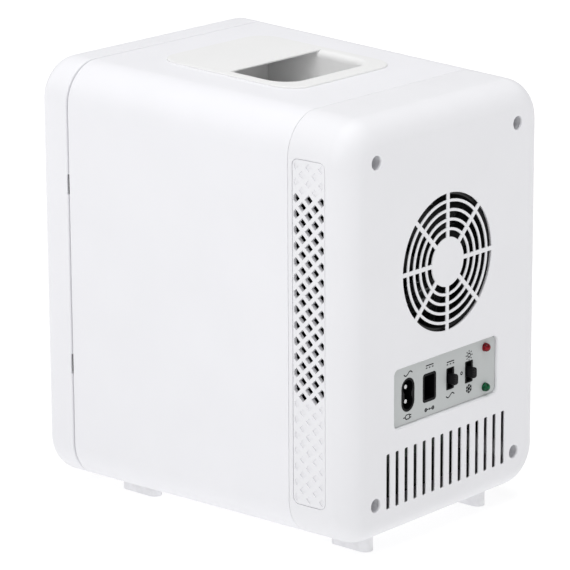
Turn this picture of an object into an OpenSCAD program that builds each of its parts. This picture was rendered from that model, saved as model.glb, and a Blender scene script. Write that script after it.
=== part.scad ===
// Thermoelectric mini fridge: a flared tube cabinet with a capped rear, a carrying grip in the top,
// a fan and heat pump behind the rear grille, and a foam-filled door on two side pins.
// X runs to the right seen from the door, Y to the rear, Z up. The feet stand on Z = 0.
// Most pieces are placed by their distance forward of the rear face, which is called "ahead" below.

/* [Cabinet] */
// Width of the rear face before the sides flare
rear_w = 177; // [170:0.5:186]
// Height of the rear face, without the feet
rear_h = 244.5; // [240:0.5:252]
// Rear face to front of the door
body_depth = 230.5; // [226:0.5:238]
// Flare of each side towards the door, in degrees
side_flare = 1.5; // [0.5:0.1:2]
// Rise of the top towards the door, in degrees
top_rise = 2.2; // [1:0.1:2.5]
// Radius of the four long corners
corner_r = 24.5; // [22:0.5:28]
// Radius round the rear face
rear_fillet = 14.5; // [10:0.5:17]
// Radius round the front of the door
front_fillet = 11; // [8:0.5:14]
// Skin thickness of the moulded shells
skin = 2.4; // [2:0.1:2.8]
// Height of the feet
foot_h = 10; // [8:0.5:12]
// Depth of the rear cap, up to its seam
cap_depth = 41.7; // [40.5:0.1:42.5]

/* [Rear face] */
// Radius of the fan grille
grille_r = 40; // [36:0.5:41]
// Height of the fan's centre above the floor
fan_z = 162; // [158:0.5:166]
// Number of spokes in the fan grille
grille_spokes = 8; // [4:1:12]
// Number of ring slots in the fan grille
grille_slots = 5; // [3:1:6]
// Width and height of the control panel
panel_w = 93; // [91:0.5:96]
panel_h = 34; // [32:0.5:36]
// Height of the panel's centre above the floor
panel_z = 91.2; // [90:0.2:93]
// How far the panel is set back from the rear face
panel_recess = 1.8; // [1:0.1:2.2]
// Number of upright slots below the panel
slot_count = 14; // [8:1:14]
// Sideways and upward distance of the screw wells from the middle of the face
well_x = 63.2; // [61:0.2:65]
well_z = 98.8; // [96:0.2:99]

/* [Side vents] */
// Width and height of each vent strip
strip_w = 23.3; // [21:0.1:24]
strip_h = 199.4; // [190:0.2:200]
// Distance of the strip's middle ahead of the rear face
strip_ahead = 27; // [26:0.1:28]
// Spacing of the diamonds along each row and each column
diamond_pitch = 9.1; // [8.6:0.05:9.1]
// Length of a diamond's side
diamond_side = 4.1; // [3:0.1:4.6]

/* [Grip] */
// Length of the grip plate, front to rear
grip_l = 105.4; // [100:0.2:108]
// Width of the grip plate
grip_w = 92.4; // [88:0.2:94]
// Distance of the plate's middle ahead of the rear face
grip_ahead = 127.4; // [125:0.2:130]
// Depth of the hand space
grip_depth = 24.8; // [20:0.2:25]

/* [Door] */
// Thickness of the door
door_t = 23.5; // [22:0.1:25]
// Gap between the cabinet and the door
door_gap = 1.2; // [1.1:0.05:1.4]
// Heights of the two hinges above the floor
low_hinge_z = 83; // [70:0.5:95]
high_hinge_z = 191.5; // [180:0.5:200]

/* [Switches and lamps] */
// How far the switch knobs stand out of the rear face
knob_proud = 2.8; // [2:0.1:4]
// Travel of each knob, each way from its middle place
knob_travel = 2.5; // [2:0.1:2.8]

/* [Hidden] */
$fn = 64;
cut = 1;            // how far a cutting shape runs past the face it opens
hair = 0.01;        // thickness of the slices that the skins are stretched between
fit = 0.2;          // clearance between nested pieces that don't move
seam = 0.1;         // half the seam between the housing and the rear cap
run_fit = 0.05;     // radial clearance of a turning shaft

rear_y = body_depth / 2 - knob_proud / 2;
face_z = foot_h + rear_h / 2;

// Half the cabinet's width, and its top's height, a distance ahead of the rear face
function half_w(ahead) = rear_w / 2 + ahead * tan(side_flare);
function top_z(ahead) = foot_h + rear_h + ahead * tan(top_rise);
function y_at(ahead) = rear_y - ahead;

cap_front = cap_depth - seam;
housing_rear = cap_depth + seam;
frame_front = body_depth - door_t - door_gap;
frame_t = 3.4;
frame_rear = frame_front - frame_t;
door_rear = body_depth - door_t;

// ---- insulated box
foam_rear = 44.4;
liner_rear = 76;
liner_skin = 1.5;
liner_half = 72;
liner_low = 32;
liner_high = 228;
liner_r = 10;
liner_mid = (liner_low + liner_high) / 2;
liner_h = liner_high - liner_low;
rail_z = 125;
rail_w = 3;
rail_t = 2;
shelf_t = 3;
plate_rear = 42.2;
plate_t = 2;

// ---- heat pump
sink_base = 90;
sink_base_t = 5;
sink_fin = 80;
sink_fin_t = 1.2;
sink_pitch = 5.5;
sink_fins = 15;
sink_ahead = foam_rear;
sink_fin_start = 23.2;
module_w = 40;
module_t = 3.8;
module_ahead = sink_ahead + sink_base_t;
block_ahead = module_ahead + module_t;
cold_ahead = liner_rear + liner_skin + 0.1;
cold_t = 2;
cold_w = 110;
cold_h = 120;
cold_screw_at = 14;

// ---- fan
fan_size = 80;
fan_ahead = skin + fit;
fan_t = 20;
fan_hole_at = 35.75;
fan_bore_r = 38.5;
fan_hub_r = 14.3;
fan_blades = 7;
fan_strut_t = 3;
shaft_r = 1.5;
bearing_r = 3;
fan_head_t = 2;

// ---- rear openings and wells
vent_t = 0.8;
slot_w = 3.1;
slot_h = 32.4;
slot_pitch = 8.06;
slots_z = foot_h + 34.9;
well_r = 4;
well_wall = 1.7;
well_floor = 3.4;
well_end = plate_rear - 0.2;
screw_r = 1.5;
boss_r = 3.6;
boss_l = 9;

// ---- panel items, as places across the panel seen from the door side, and their openings
ac_x = 33.1;
ac_w = 11.8;
ac_h = 20;
dc_x = 13.8;
dc_w = 12.2;
dc_h = 17.2;
power_x = -5.1;
mode_x = -22.3;
switch_w = 7.4;
switch_h = 13.2;
switch_z = panel_z + 0.6;
knob_w = 4.2;
knob_h = 6.4;
lamp_x = -37;
lamp_r = 2.5;
lamp_rise = 12;
lamp_proud = 3.6;
panel_t = 1.8;
panel_back = panel_recess + panel_t;
pin_pitch = 8.6;
board_ahead = 24;
board_t = 1.6;
board_w = 92;
board_h = 66;
board_z = 76;
board_back = board_ahead + board_t;
ac_pin_start = panel_recess + 1.8;
dc_pin_start = panel_recess + 5.2;
ac_pin_r = 1.2;
dc_pin_r = 1.1;
dc_pin_at = 3.6;
socket_deep = 15;
socket_bore = 13;
lead_x = 1.6;
lead_z = 112.5;

// ---- door: its brackets are hooks, and their reaches are measured inwards from the pins
hinge_ahead = door_rear + 5;
hinge_x = half_w(door_rear) - 4;
lug_r = 2.2;
lug_h = 11.2;
pin_r = 1.2;
pin_l = 24;
bracket_t = 1.4;
hook_reach = 9.7;
foot_near = 3;
foot_far = 16;
hinge_screw_at = 5.5;
hinge_screw_r = 0.9;
notch_gap = 0.4;
notch_in = hook_reach + 0.8;
notch_out = lug_r + notch_gap;
notch_deep = hinge_ahead - door_rear + lug_r + notch_gap;
notch_h = lug_h + 2 * notch_gap;
slit_t = 0.5;
knuckle_wall = 1.8;
knuckle_h = 25;
plug_half = liner_half - liner_skin - 3;
plug_t = 6;
plug_h = liner_h - 2 * liner_skin - 6;
tray_half = 58.5;
tray_h = 169;
tray_depth = 7;
door_skin = 2.2;
gasket_t = 1;
catch_z = 208;
catch_x = -84.5;
strike_w = 10;
strike_h = 24;
strike_t = 1;
magnet_w = 8;
magnet_h = 20;
magnet_t = 3;
magnet_set = 1.8;
pull_z = 137;
pull_h = 56;
pull_r = 7;
pull_out = 2.5;

// ---- side vents
strip_lift = 1.05;
field_w = 21.2;

// ---- feet
rear_foot = [51.5, 27.2];
front_foot = [58.5, 184.5];
foot_w = 9;
foot_l = 28;
REAR_FEET = [for (side = [-1, 1]) [side * rear_foot[0], rear_foot[1]]];
FRONT_FEET = [for (side = [-1, 1]) [side * front_foot[0], front_foot[1]]];
FEET = concat(REAR_FEET, FRONT_FEET);

// ---- grip, as width, length and corner radius of its nested outlines
GRIP_HOLE = [86, 99, 12];
GRIP_SKIRT = [85, 98, 11.5];
TUB_RIM = [84, 96, 11];
grip_rise = 1.2;
grip_skirt = 3;
grip_corner = 15;
hand_half = 36.5;
hand_rear = 38.9;
hand_front = -38.5;
hand_corner = 13;
mouth_front = -0.5;
mouth_roll = grip_rise + grip_skirt;
cover_edge_t = 0.7;
cover_slope = 18;
tub_skin = 2.2;
tub_rim_t = 1.8;
tub_cove_r = 14;
grip_screw_r = 0.9;
GRIP_SCREWS = [for (x = [-1, 1], y = [-1, 1]) [x * 37, y * 43.5]];

// ==== shared shapes

// Flat rounded rectangle about the origin
module rounded(w, h, r) {
    square([w - 2 * r, h], center = true);
    square([w, h - 2 * r], center = true);
    for (x = [-1, 1], y = [-1, 1])
        translate([x * (w / 2 - r), y * (h / 2 - r)]) circle(r = r);
}

// Raises a flat shape drawn in X and Z, from a distance ahead of the rear face, towards the door
module ahead_from(start, thick) {
    translate([0, y_at(start), 0]) rotate([90, 0, 0]) linear_extrude(thick) children();
}

// Outline of the cabinet at a distance ahead, drawn in by an inset
module section(ahead, inset) {
    low = foot_h + inset;
    high = top_z(ahead) - inset;
    translate([0, (low + high) / 2])
        rounded(2 * (half_w(ahead) - inset), high - low, corner_r - inset);
}

// Solid stretched through stations, each a distance ahead and an inset from the cabinet's skin
module stretched(stations) {
    hull()
        for (s = stations, x = [-1, 1], z = [0, 1]) {
            r = max(corner_r - s[1], 1);
            post_z = z == 0 ? foot_h + s[1] + r : top_z(s[0]) - s[1] - r;
            translate([x * (half_w(s[0]) - s[1] - r), y_at(s[0]), post_z])
                rotate([90, 0, 0]) cylinder(r = r, h = hair);
        }
}

// Stations round the rear edge and round the door's front edge
function rear_round(inset) = let (r = rear_fillet - inset)
    [for (t = [0:15:90]) [rear_fillet - r * cos(t), inset + r * (1 - sin(t))]];
function front_round(inset) = let (r = front_fillet - inset)
    [for (t = [0:15:90]) [body_depth - hair - front_fillet + r * sin(t), inset + r * (1 - cos(t))]];

// Round bar from one point to just past another, so that the next bar starts inside it
module bar(from, to, r) {
    along = to - from;
    len = norm(along);
    turn = atan2(along[1], along[0]);
    tip = acos(along[2] / len);
    translate(from) rotate([0, tip, turn]) cylinder(r = r, h = len + 0.8 * r);
}
module wire(points, r) {
    for (i = [0:len(points) - 2]) bar(points[i], points[i + 1], r);
}

// Screw that is driven towards the door: its head ends at the distance given
module screw_ahead(x, z, seat, head_r, head_t, shank_r, shank_l) {
    difference() {
        union() {
            ahead_from(seat - head_t, head_t) translate([x, z]) circle(r = head_r);
            ahead_from(seat, shank_l) translate([x, z]) circle(r = shank_r);
        }
        ahead_from(seat - head_t - cut, cut + head_t / 2) translate([x, z]) {
            square([head_r * 1.3, head_r * 0.3], center = true);
            square([head_r * 0.3, head_r * 1.3], center = true);
        }
    }
}

// Frame of the sloping top: X across, Y to the rear along the top, Z out of it
module on_top() {
    translate([0, y_at(grip_ahead), top_z(grip_ahead)]) rotate([-top_rise, 0, 0]) children();
}

// Frame of one flaring side: X out of it, Y to the rear along it, Z up
module on_side() {
    translate([half_w(strip_ahead), y_at(strip_ahead), face_z + strip_lift])
        rotate([0, 0, side_flare]) children();
}

// ==== cabinet

// Posts on the floor that the foot screws bite into, and the holes up them
module foot_posts(spots, r, start, end) {
    for (f = spots) translate([f[0], y_at(f[1]), foot_h + start]) cylinder(r = r, h = end - start);
}

module main_housing() {
    color("white") difference() {
        union() {
            difference() {
                stretched([[housing_rear, 0], [frame_front - 1, 0], [frame_front - hair, 0.6]]);
                stretched([[housing_rear - cut, skin], [frame_front + cut, skin]]);
            }
            foot_posts(FRONT_FEET, boss_r, cut, skin + boss_l);
        }
        foot_posts(FRONT_FEET, screw_r, -cut, skin + boss_l + cut);
        on_top() translate([0, 0, -6]) linear_extrude(8)
            rounded(GRIP_HOLE[0], GRIP_HOLE[1], GRIP_HOLE[2]);
    }
}

module grille_shape() {
    bars = grille_slots - 1;
    hub = grille_r * 0.36;
    bar_w = 1.7;
    slot = (grille_r - hub - bars * bar_w) / grille_slots;
    difference() {
        for (i = [0:bars]) difference() {
            circle(r = hub + (i + 1) * slot + i * bar_w, $fn = 96);
            circle(r = hub + i * (slot + bar_w), $fn = 96);
        }
        for (a = [0:360 / grille_spokes:359])
            rotate(a) translate([0, -1.3]) square([grille_r + cut, 2.6]);
    }
}

module slot_shape() {
    for (i = [0:slot_count - 1])
        translate([(i - (slot_count - 1) / 2) * slot_pitch, 0]) rounded(slot_w, slot_h, 0.8);
}

module rear_cover() {
    color("white") difference() {
        union() {
            difference() {
                stretched(concat(rear_round(0), [[cap_front - hair, 0]]));
                stretched(concat(rear_round(skin), [[cap_front + cut, skin]]));
            }
            for (x = [-1, 1], z = [-1, 1])
                ahead_from(cut, well_end - cut) translate([x * well_x, face_z + z * well_z])
                    circle(r = well_r + well_wall);
            foot_posts(REAR_FEET, boss_r, cut, skin + boss_l);
        }
        foot_posts(REAR_FEET, screw_r, -cut, skin + boss_l + cut);
        ahead_from(-cut, skin + 2 * cut) translate([0, fan_z]) grille_shape();
        ahead_from(-cut, skin + 2 * cut) translate([0, slots_z]) slot_shape();
        ahead_from(vent_t, skin) translate([0, fan_z]) circle(r = grille_r + 1);
        ahead_from(vent_t, skin) translate([0, slots_z])
            rounded(slot_count * slot_pitch + 2, slot_h + 4, 3);
        ahead_from(-cut, skin + 2 * cut) translate([0, panel_z])
            rounded(panel_w + 2 * fit, panel_h + 2 * fit, 3.2);
        for (x = [-1, 1], z = [-1, 1]) {
            ahead_from(-cut, well_end - well_floor + cut) translate([x * well_x, face_z + z * well_z])
                circle(r = well_r);
            ahead_from(0, cap_depth + cut) translate([x * well_x, face_z + z * well_z])
                circle(r = screw_r + 0.3);
        }
        for (m = [0, 1]) mirror([m, 0, 0]) on_side() translate([-8, 0, 0])
            rotate([90, 0, 90]) linear_extrude(10) rounded(strip_w, strip_h, 4);
    }
}

// Field of diamonds: whole rows of three and offset rows of two, from one row number to another
module diamonds(from, to) {
    top_row = (strip_h - 8.2) / 2;
    intersection() {
        rounded(field_w, strip_h - 2, 3);
        for (k = [from:0.5:to]) {
            odd = k != floor(k);
            for (c = odd ? [-0.5, 0.5] : [-1, 0, 1])
                translate([c * diamond_pitch, top_row - k * diamond_pitch])
                    rotate(45) square(diamond_side, center = true);
        }
    }
}

module vent_strip() {
    strip_t = 2.6;
    pocket = 0.8;
    first_open = 2;
    last_open = 14.5;
    last_row = 21;
    flange = 1.2;
    behind = skin + 0.25;
    on_side() rotate([90, 0, 90]) difference() {
        union() {
            translate([0, 0, -strip_t]) linear_extrude(strip_t - 0.15)
                rounded(strip_w - 0.8, strip_h - 0.8, 3.6);
            translate([0, 0, -strip_t - flange]) linear_extrude(strip_t + flange - behind)
                difference() {
                    rounded(strip_w + 2 * flange, strip_h + 2 * flange, 4 + flange);
                    rounded(field_w, strip_h - 2, 3);
                }
        }
        translate([0, 0, -strip_t - 2 * flange]) linear_extrude(strip_t + 3 * flange)
            diamonds(first_open, last_open);
        translate([0, 0, -pocket]) linear_extrude(pocket + cut) {
            diamonds(0, first_open - 0.5);
            diamonds(last_open + 0.5, last_row);
        }
    }
}
module right_vent_grille() {
    color("white") vent_strip();
}
module left_vent_grille() {
    color("white") mirror([1, 0, 0]) vent_strip();
}

// ==== grip

// Outline of the hand space, drawn out by an offset, from a front edge to the rear edge
module hand_outline(front, out) {
    w = 2 * (hand_half + out);
    l = hand_rear - front + 2 * out;
    r = hand_corner + out;
    translate([0, (front + hand_rear) / 2]) {
        rounded(w, l, r);
        translate([0, -l / 4]) square([w, l / 2], center = true);
    }
}

// Slice of the mouth where its rolled rim has turned by an angle
module rim_slice(angle) {
    grow = mouth_roll * (1 - cos(angle));
    translate([0, 0, mouth_roll * sin(angle) - grip_skirt]) linear_extrude(hair)
        hand_outline(mouth_front + grow, grow);
}

// Opening of the grip, rolled over all round but at the cover's edge
module grip_mouth() {
    translate([0, 0, -grip_skirt - cut]) linear_extrude(grip_skirt + grip_rise + 2 * cut)
        hand_outline(mouth_front, 0);
    for (angle = [0:22.5:67.5]) hull() {
        rim_slice(angle);
        rim_slice(angle + 22.5);
    }
}

// Slope under the cover, which thins it towards its edge
module cover_relief() {
    w = 2 * (hand_half + cut);
    l = 30;
    intersection() {
        translate([0, 0, -grip_skirt - cut]) linear_extrude(grip_skirt + grip_rise + cut)
            hand_outline(hand_front, 0);
        translate([0, mouth_front, grip_rise - cover_edge_t]) rotate([cover_slope, 0, 0])
            translate([-w / 2, -l, -l]) cube([w, l + cut, l]);
    }
}

module handle_plate() {
    edge = 0.8;
    color("whitesmoke") on_top() difference() {
        union() {
            hull() {
                linear_extrude(grip_rise - edge) rounded(grip_w, grip_l, grip_corner);
                linear_extrude(grip_rise)
                    rounded(grip_w - 2 * edge, grip_l - 2 * edge, grip_corner - edge);
            }
            translate([0, 0, -grip_skirt]) linear_extrude(grip_skirt + hair)
                rounded(GRIP_SKIRT[0], GRIP_SKIRT[1], GRIP_SKIRT[2]);
        }
        grip_mouth();
        cover_relief();
        for (s = GRIP_SCREWS) translate([s[0], s[1], -grip_skirt - cut])
            cylinder(r = grip_screw_r, h = grip_skirt + cut - 0.6);
    }
}

module handle_tub() {
    rim_top = -grip_skirt - hair;
    floor_low = -grip_depth - tub_skin;
    color("whitesmoke") on_top() difference() {
        union() {
            translate([0, 0, floor_low]) linear_extrude(rim_top - floor_low)
                hand_outline(hand_front, tub_skin);
            translate([0, 0, rim_top - tub_rim_t]) linear_extrude(tub_rim_t)
                rounded(TUB_RIM[0], TUB_RIM[1], TUB_RIM[2]);
        }
        difference() {
            translate([0, 0, -grip_depth]) linear_extrude(grip_depth) hand_outline(hand_front, 0);
            translate([-grip_w / 2, hand_rear - tub_cove_r, -grip_depth]) rotate([90, 0, 90])
                linear_extrude(grip_w) difference() {
                    square(tub_cove_r + cut);
                    translate([0, tub_cove_r]) circle(r = tub_cove_r);
                    translate([-tub_cove_r, tub_cove_r]) square(2 * tub_cove_r + cut);
                }
        }
        for (s = GRIP_SCREWS) translate([s[0], s[1], rim_top - tub_rim_t - cut])
            cylinder(r = grip_screw_r + 0.3, h = tub_rim_t + 2 * cut);
    }
}

module handle_screws() {
    seat = -grip_skirt - tub_rim_t - hair;
    head_t = 1.4;
    color("silver") on_top() for (s = GRIP_SCREWS) translate([s[0], s[1], seat]) {
        cylinder(r = grip_screw_r, h = 3.8);
        translate([0, 0, -head_t]) cylinder(r = 2, h = head_t);
    }
}

// ==== insulated box

module front_frame() {
    color("white") difference() {
        ahead_from(frame_rear, frame_t) section(frame_rear, skin + 0.15);
        ahead_from(frame_rear - cut, frame_t + 2 * cut) translate([0, liner_mid])
            rounded(2 * (liner_half - liner_skin), liner_h - 2 * liner_skin, liner_r - liner_skin);
        for (z = [low_hinge_z, high_hinge_z]) {
            ahead_from(frame_front - bracket_t - hair, 2 * bracket_t)
                translate([hinge_x - (foot_near + foot_far) / 2, z])
                    square([foot_far - foot_near + 2 * hair, lug_h + 2 * hair], center = true);
            ahead_from(frame_rear - cut, frame_t + 2 * cut) translate([hinge_x - hinge_screw_at, z])
                circle(r = hinge_screw_r);
        }
        ahead_from(frame_front - strike_t - hair, 2 * strike_t) translate([catch_x, catch_z])
            square([strike_w + 2 * hair, strike_h + 2 * hair], center = true);
    }
}

module hinge_bracket(z) {
    hook_front = hinge_ahead + bracket_t / 2;
    color([0.22, 0.22, 0.23]) difference() {
        translate([hinge_x, 0, z - lug_h / 2]) union() {
            translate([0, y_at(hinge_ahead), 0]) cylinder(r = lug_r, h = lug_h);
            translate([-hook_reach, y_at(hook_front), 0]) cube([hook_reach, bracket_t, lug_h]);
            translate([-hook_reach, y_at(hook_front), 0])
                cube([bracket_t, hook_front - frame_front + bracket_t / 2, lug_h]);
            translate([-foot_far, y_at(frame_front), 0]) cube([foot_far - foot_near, bracket_t, lug_h]);
        }
        translate([hinge_x, y_at(hinge_ahead), z - lug_h]) cylinder(r = pin_r + run_fit, h = 2 * lug_h);
        ahead_from(frame_front - 2 * bracket_t, 4 * bracket_t) translate([hinge_x - hinge_screw_at, z])
            circle(r = hinge_screw_r + 0.2);
        ahead_from(frame_front - bracket_t / 2, bracket_t) translate([hinge_x - hinge_screw_at, z])
            circle(r = 2.1);
    }
}
module upper_hinge_bracket() {
    hinge_bracket(high_hinge_z);
}
module lower_hinge_bracket() {
    hinge_bracket(low_hinge_z);
}

module hinge_screws() {
    seat = frame_front - bracket_t / 2;
    head_t = 0.6;
    color("silver") for (z = [low_hinge_z, high_hinge_z])
        translate([hinge_x - hinge_screw_at, 0, z]) difference() {
            union() {
                translate([0, y_at(seat), 0]) rotate([90, 0, 0]) cylinder(r = 1.9, h = head_t);
                translate([0, y_at(seat), 0]) rotate([-90, 0, 0]) cylinder(r = hinge_screw_r, h = 7);
            }
            translate([0, y_at(seat + head_t / 2), 0]) rotate([90, 0, 0]) linear_extrude(2) {
                square([2.4, 0.5], center = true);
                square([0.5, 2.4], center = true);
            }
        }
}

module strike_plate() {
    color("silver") ahead_from(frame_front - strike_t, strike_t) translate([catch_x, catch_z])
        square([strike_w, strike_h], center = true);
}

module foam_insulation() {
    foam_inset = skin + 0.4;
    color("aliceblue") difference() {
        stretched([[foam_rear, foam_inset], [frame_rear - fit, foam_inset]]);
        ahead_from(liner_rear - fit, frame_rear) translate([0, liner_mid])
            rounded(2 * (liner_half + fit), liner_h + 2 * fit, liner_r + fit);
        ahead_from(foam_rear - cut, sink_base_t + cut + fit) translate([0, fan_z])
            square(sink_base + 2, center = true);
        ahead_from(foam_rear, liner_rear) translate([0, fan_z]) square(module_w + 2, center = true);
        on_top() translate([0, 0, -8]) linear_extrude(12)
            rounded(GRIP_HOLE[0] + 1.4, GRIP_HOLE[1] + 1.4, GRIP_HOLE[2] + 0.7);
        on_top() translate([0, 0, -grip_depth - tub_skin - 0.6]) linear_extrude(grip_depth)
            hand_outline(hand_front, tub_skin + 0.5);
        for (x = [-1, 1], z = [-1, 1])
            ahead_from(foam_rear - cut, 11) translate([x * well_x, face_z + z * well_z]) circle(r = 5);
        for (z = [low_hinge_z, high_hinge_z])
            ahead_from(frame_rear - 8, 9) translate([hinge_x - hinge_screw_at, z])
                circle(r = hinge_screw_r + 0.7);
        foot_posts(FRONT_FEET, boss_r + 0.3, 0, skin + boss_l + 0.3);
        for (x = [-1, 1]) wire(lead_path(x), 2.4);
    }
}

module inner_liner() {
    color("lightgray") {
        difference() {
            ahead_from(liner_rear, frame_rear - liner_rear) translate([0, liner_mid])
                rounded(2 * liner_half, liner_h, liner_r);
            ahead_from(liner_rear + liner_skin, frame_rear) translate([0, liner_mid])
                rounded(2 * (liner_half - liner_skin), liner_h - 2 * liner_skin, liner_r - liner_skin);
            ahead_from(liner_rear - cut, liner_skin + 2 * cut) translate([0, fan_z])
                square(module_w + 1, center = true);
        }
        for (x = [-1, 1])
            ahead_from(liner_rear + liner_skin - hair, 112)
                translate([x * (liner_half - liner_skin - rail_w / 2 + hair), rail_z - rail_t / 2])
                    square([rail_w, rail_t], center = true);
    }
}

module shelf() {
    shelf_half = liner_half - liner_skin - 0.5;
    start = 84;
    deep = 104;
    bars = 9;
    bar_w = 4;
    rim = 7;
    pitch = (2 * shelf_half - 2 * rim) / bars;
    color("white") translate([0, y_at(start), rail_z + hair]) difference() {
        translate([-shelf_half, -deep, 0]) cube([2 * shelf_half, deep, shelf_t]);
        for (i = [0:bars - 1])
            translate([-shelf_half + rim + i * pitch + bar_w / 2, -deep + rim, -cut])
                cube([pitch - bar_w, deep - 2 * rim, shelf_t + 2 * cut]);
    }
}

module back_plate() {
    post_l = plate_rear - board_back;
    color("gainsboro") difference() {
        union() {
            ahead_from(plate_rear, plate_t) section(plate_rear, skin + 0.3);
            for (x = [-1, 1], z = [-1, 1])
                ahead_from(plate_rear + hair, 9) translate([x * well_x, face_z + z * well_z])
                    circle(r = 4.5);
            for (x = [-1, 1], z = [-1, 1])
                ahead_from(board_back, post_l + hair)
                    translate([x * (board_w / 2 - 4), board_z + z * (board_h / 2 - 4)]) circle(r = 3);
        }
        ahead_from(plate_rear - cut, plate_t + 2 * cut) translate([0, fan_z])
            square(sink_fin + 4, center = true);
        for (x = [-1, 1], z = [-1, 1])
            ahead_from(plate_rear - cut, 14) translate([x * well_x, face_z + z * well_z])
                circle(r = screw_r);
        for (x = [-1, 1]) ahead_from(plate_rear - cut, plate_t + 2 * cut)
            translate([x * lead_x, lead_z]) circle(r = 2.4);
    }
}

// ==== heat pump

module cold_plate() {
    color("silver") difference() {
        ahead_from(cold_ahead, cold_t) translate([0, fan_z]) rounded(cold_w, cold_h, 4);
        for (x = [-1, 1], z = [-1, 1])
            ahead_from(cold_ahead - cut, cold_t + 2 * cut)
                translate([x * cold_screw_at, fan_z + z * cold_screw_at]) circle(r = 1.7);
    }
}

module cold_plate_screws() {
    head = 1.8;
    color("silver") for (x = [-1, 1], z = [-1, 1])
        translate([x * cold_screw_at, y_at(cold_ahead + cold_t), fan_z + z * cold_screw_at])
            rotate([90, 0, 0]) difference() {
                union() {
                    cylinder(r = 2.8, h = head);
                    translate([0, 0, -12]) cylinder(r = screw_r, h = 12 + hair);
                }
                translate([0, 0, head - 0.8]) linear_extrude(2) {
                    square([3.6, 0.8], center = true);
                    square([0.8, 3.6], center = true);
                }
            }
}

module cold_block() {
    color("silver") difference() {
        ahead_from(block_ahead, cold_ahead - block_ahead) translate([0, fan_z])
            square(module_w, center = true);
        for (x = [-1, 1], z = [-1, 1])
            ahead_from(cold_ahead - 13, 14) translate([x * cold_screw_at, fan_z + z * cold_screw_at])
                circle(r = screw_r);
    }
}

module peltier_module() {
    color("white") ahead_from(module_ahead, module_t) translate([0, fan_z])
        square(module_w, center = true);
}

module heat_sink() {
    color("silver") difference() {
        union() {
            ahead_from(sink_ahead, sink_base_t) translate([0, fan_z]) square(sink_base, center = true);
            for (i = [0:sink_fins - 1])
                ahead_from(sink_fin_start, sink_ahead - sink_fin_start + hair)
                    translate([0, fan_z + (i - (sink_fins - 1) / 2) * sink_pitch])
                        square([sink_fin, sink_fin_t], center = true);
        }
        for (x = [-1, 1], z = [-1, 1])
            ahead_from(sink_fin_start - cut, 30)
                translate([x * fan_hole_at, fan_z + z * fan_hole_at]) circle(r = screw_r);
    }
}

module temperature_sensor() {
    color("dimgray") ahead_from(cold_ahead + cold_t, 5) translate([40, fan_z + 40]) circle(r = 3);
}

// ==== fan

module fan_frame() {
    back = fan_ahead + fan_t;
    color([0.1, 0.1, 0.1]) difference() {
        union() {
            ahead_from(fan_ahead, fan_t) translate([0, fan_z]) difference() {
                rounded(fan_size, fan_size, 4);
                circle(r = fan_bore_r);
            }
            ahead_from(back - 2.4, 2.4) translate([0, fan_z]) {
                circle(r = fan_hub_r - 0.5);
                for (a = [45:90:359]) rotate(a) translate([0, -fan_strut_t / 2])
                    square([fan_bore_r + 1, fan_strut_t]);
            }
        }
        ahead_from(back - 3, 4) translate([0, fan_z]) circle(r = bearing_r);
        for (x = [-1, 1], z = [-1, 1]) translate([x * fan_hole_at, 0, fan_z + z * fan_hole_at]) {
            ahead_from(fan_ahead - cut, fan_t + 2 * cut) circle(r = screw_r + 0.2);
            ahead_from(fan_ahead - cut, cut + fan_head_t) circle(r = 2.6);
        }
    }
}

module fan_bearing() {
    start = fan_ahead + fan_t - 7;
    color("tan") ahead_from(start, 7) translate([0, fan_z]) difference() {
        circle(r = bearing_r);
        circle(r = shaft_r + run_fit);
    }
}

module fan_rotor() {
    cup = fan_ahead + 1.6;
    cup_l = 14.4;
    blade_in = fan_hub_r - 0.6;
    blade_out = fan_bore_r - 1.2;
    color([0.13, 0.13, 0.13]) {
        difference() {
            ahead_from(cup, cup_l) translate([0, fan_z]) circle(r = fan_hub_r - 0.3);
            ahead_from(cup + 1.6, cup_l) translate([0, fan_z]) circle(r = fan_hub_r - 2);
        }
        difference() {
            ahead_from(cup + 1.5, 3.5) translate([0, fan_z]) circle(r = 4);
            ahead_from(cup + 3, 3) translate([0, fan_z]) circle(r = shaft_r);
        }
        intersection() {
            ahead_from(cup + 0.6, 13) translate([0, fan_z]) difference() {
                circle(r = blade_out);
                circle(r = blade_in);
            }
            translate([0, y_at(cup + 7.1), fan_z]) for (i = [0:fan_blades - 1])
                rotate([0, i * 360 / fan_blades, 0]) translate([0, 0, fan_bore_r / 2])
                    rotate([0, 0, 42]) cube([1.6, 17, fan_bore_r], center = true);
        }
    }
}

module fan_shaft() {
    start = fan_ahead + 1.6 + 3;
    color("silver") ahead_from(start, fan_ahead + fan_t - 1 - start) translate([0, fan_z])
        circle(r = shaft_r);
}

module fan_screws() {
    color("silver") for (x = [-1, 1], z = [-1, 1])
        difference() {
            union() {
                ahead_from(fan_ahead + 0.2, fan_head_t - 0.2)
                    translate([x * fan_hole_at, fan_z + z * fan_hole_at]) circle(r = 2.5);
                ahead_from(fan_ahead + fan_head_t, fan_t + 22)
                    translate([x * fan_hole_at, fan_z + z * fan_hole_at]) circle(r = screw_r);
            }
            ahead_from(fan_ahead - cut, cut + 1) translate([x * fan_hole_at, fan_z + z * fan_hole_at]) {
                square([3.2, 0.7], center = true);
                square([0.7, 3.2], center = true);
            }
        }
}

// ==== control panel

// Two joined circles, as a two-pin inlet has
module figure_eight(r) {
    for (z = [-1, 1]) translate([0, z * pin_pitch / 2]) circle(r = r);
    square([2 * r - 2.6, pin_pitch], center = true);
}

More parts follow.
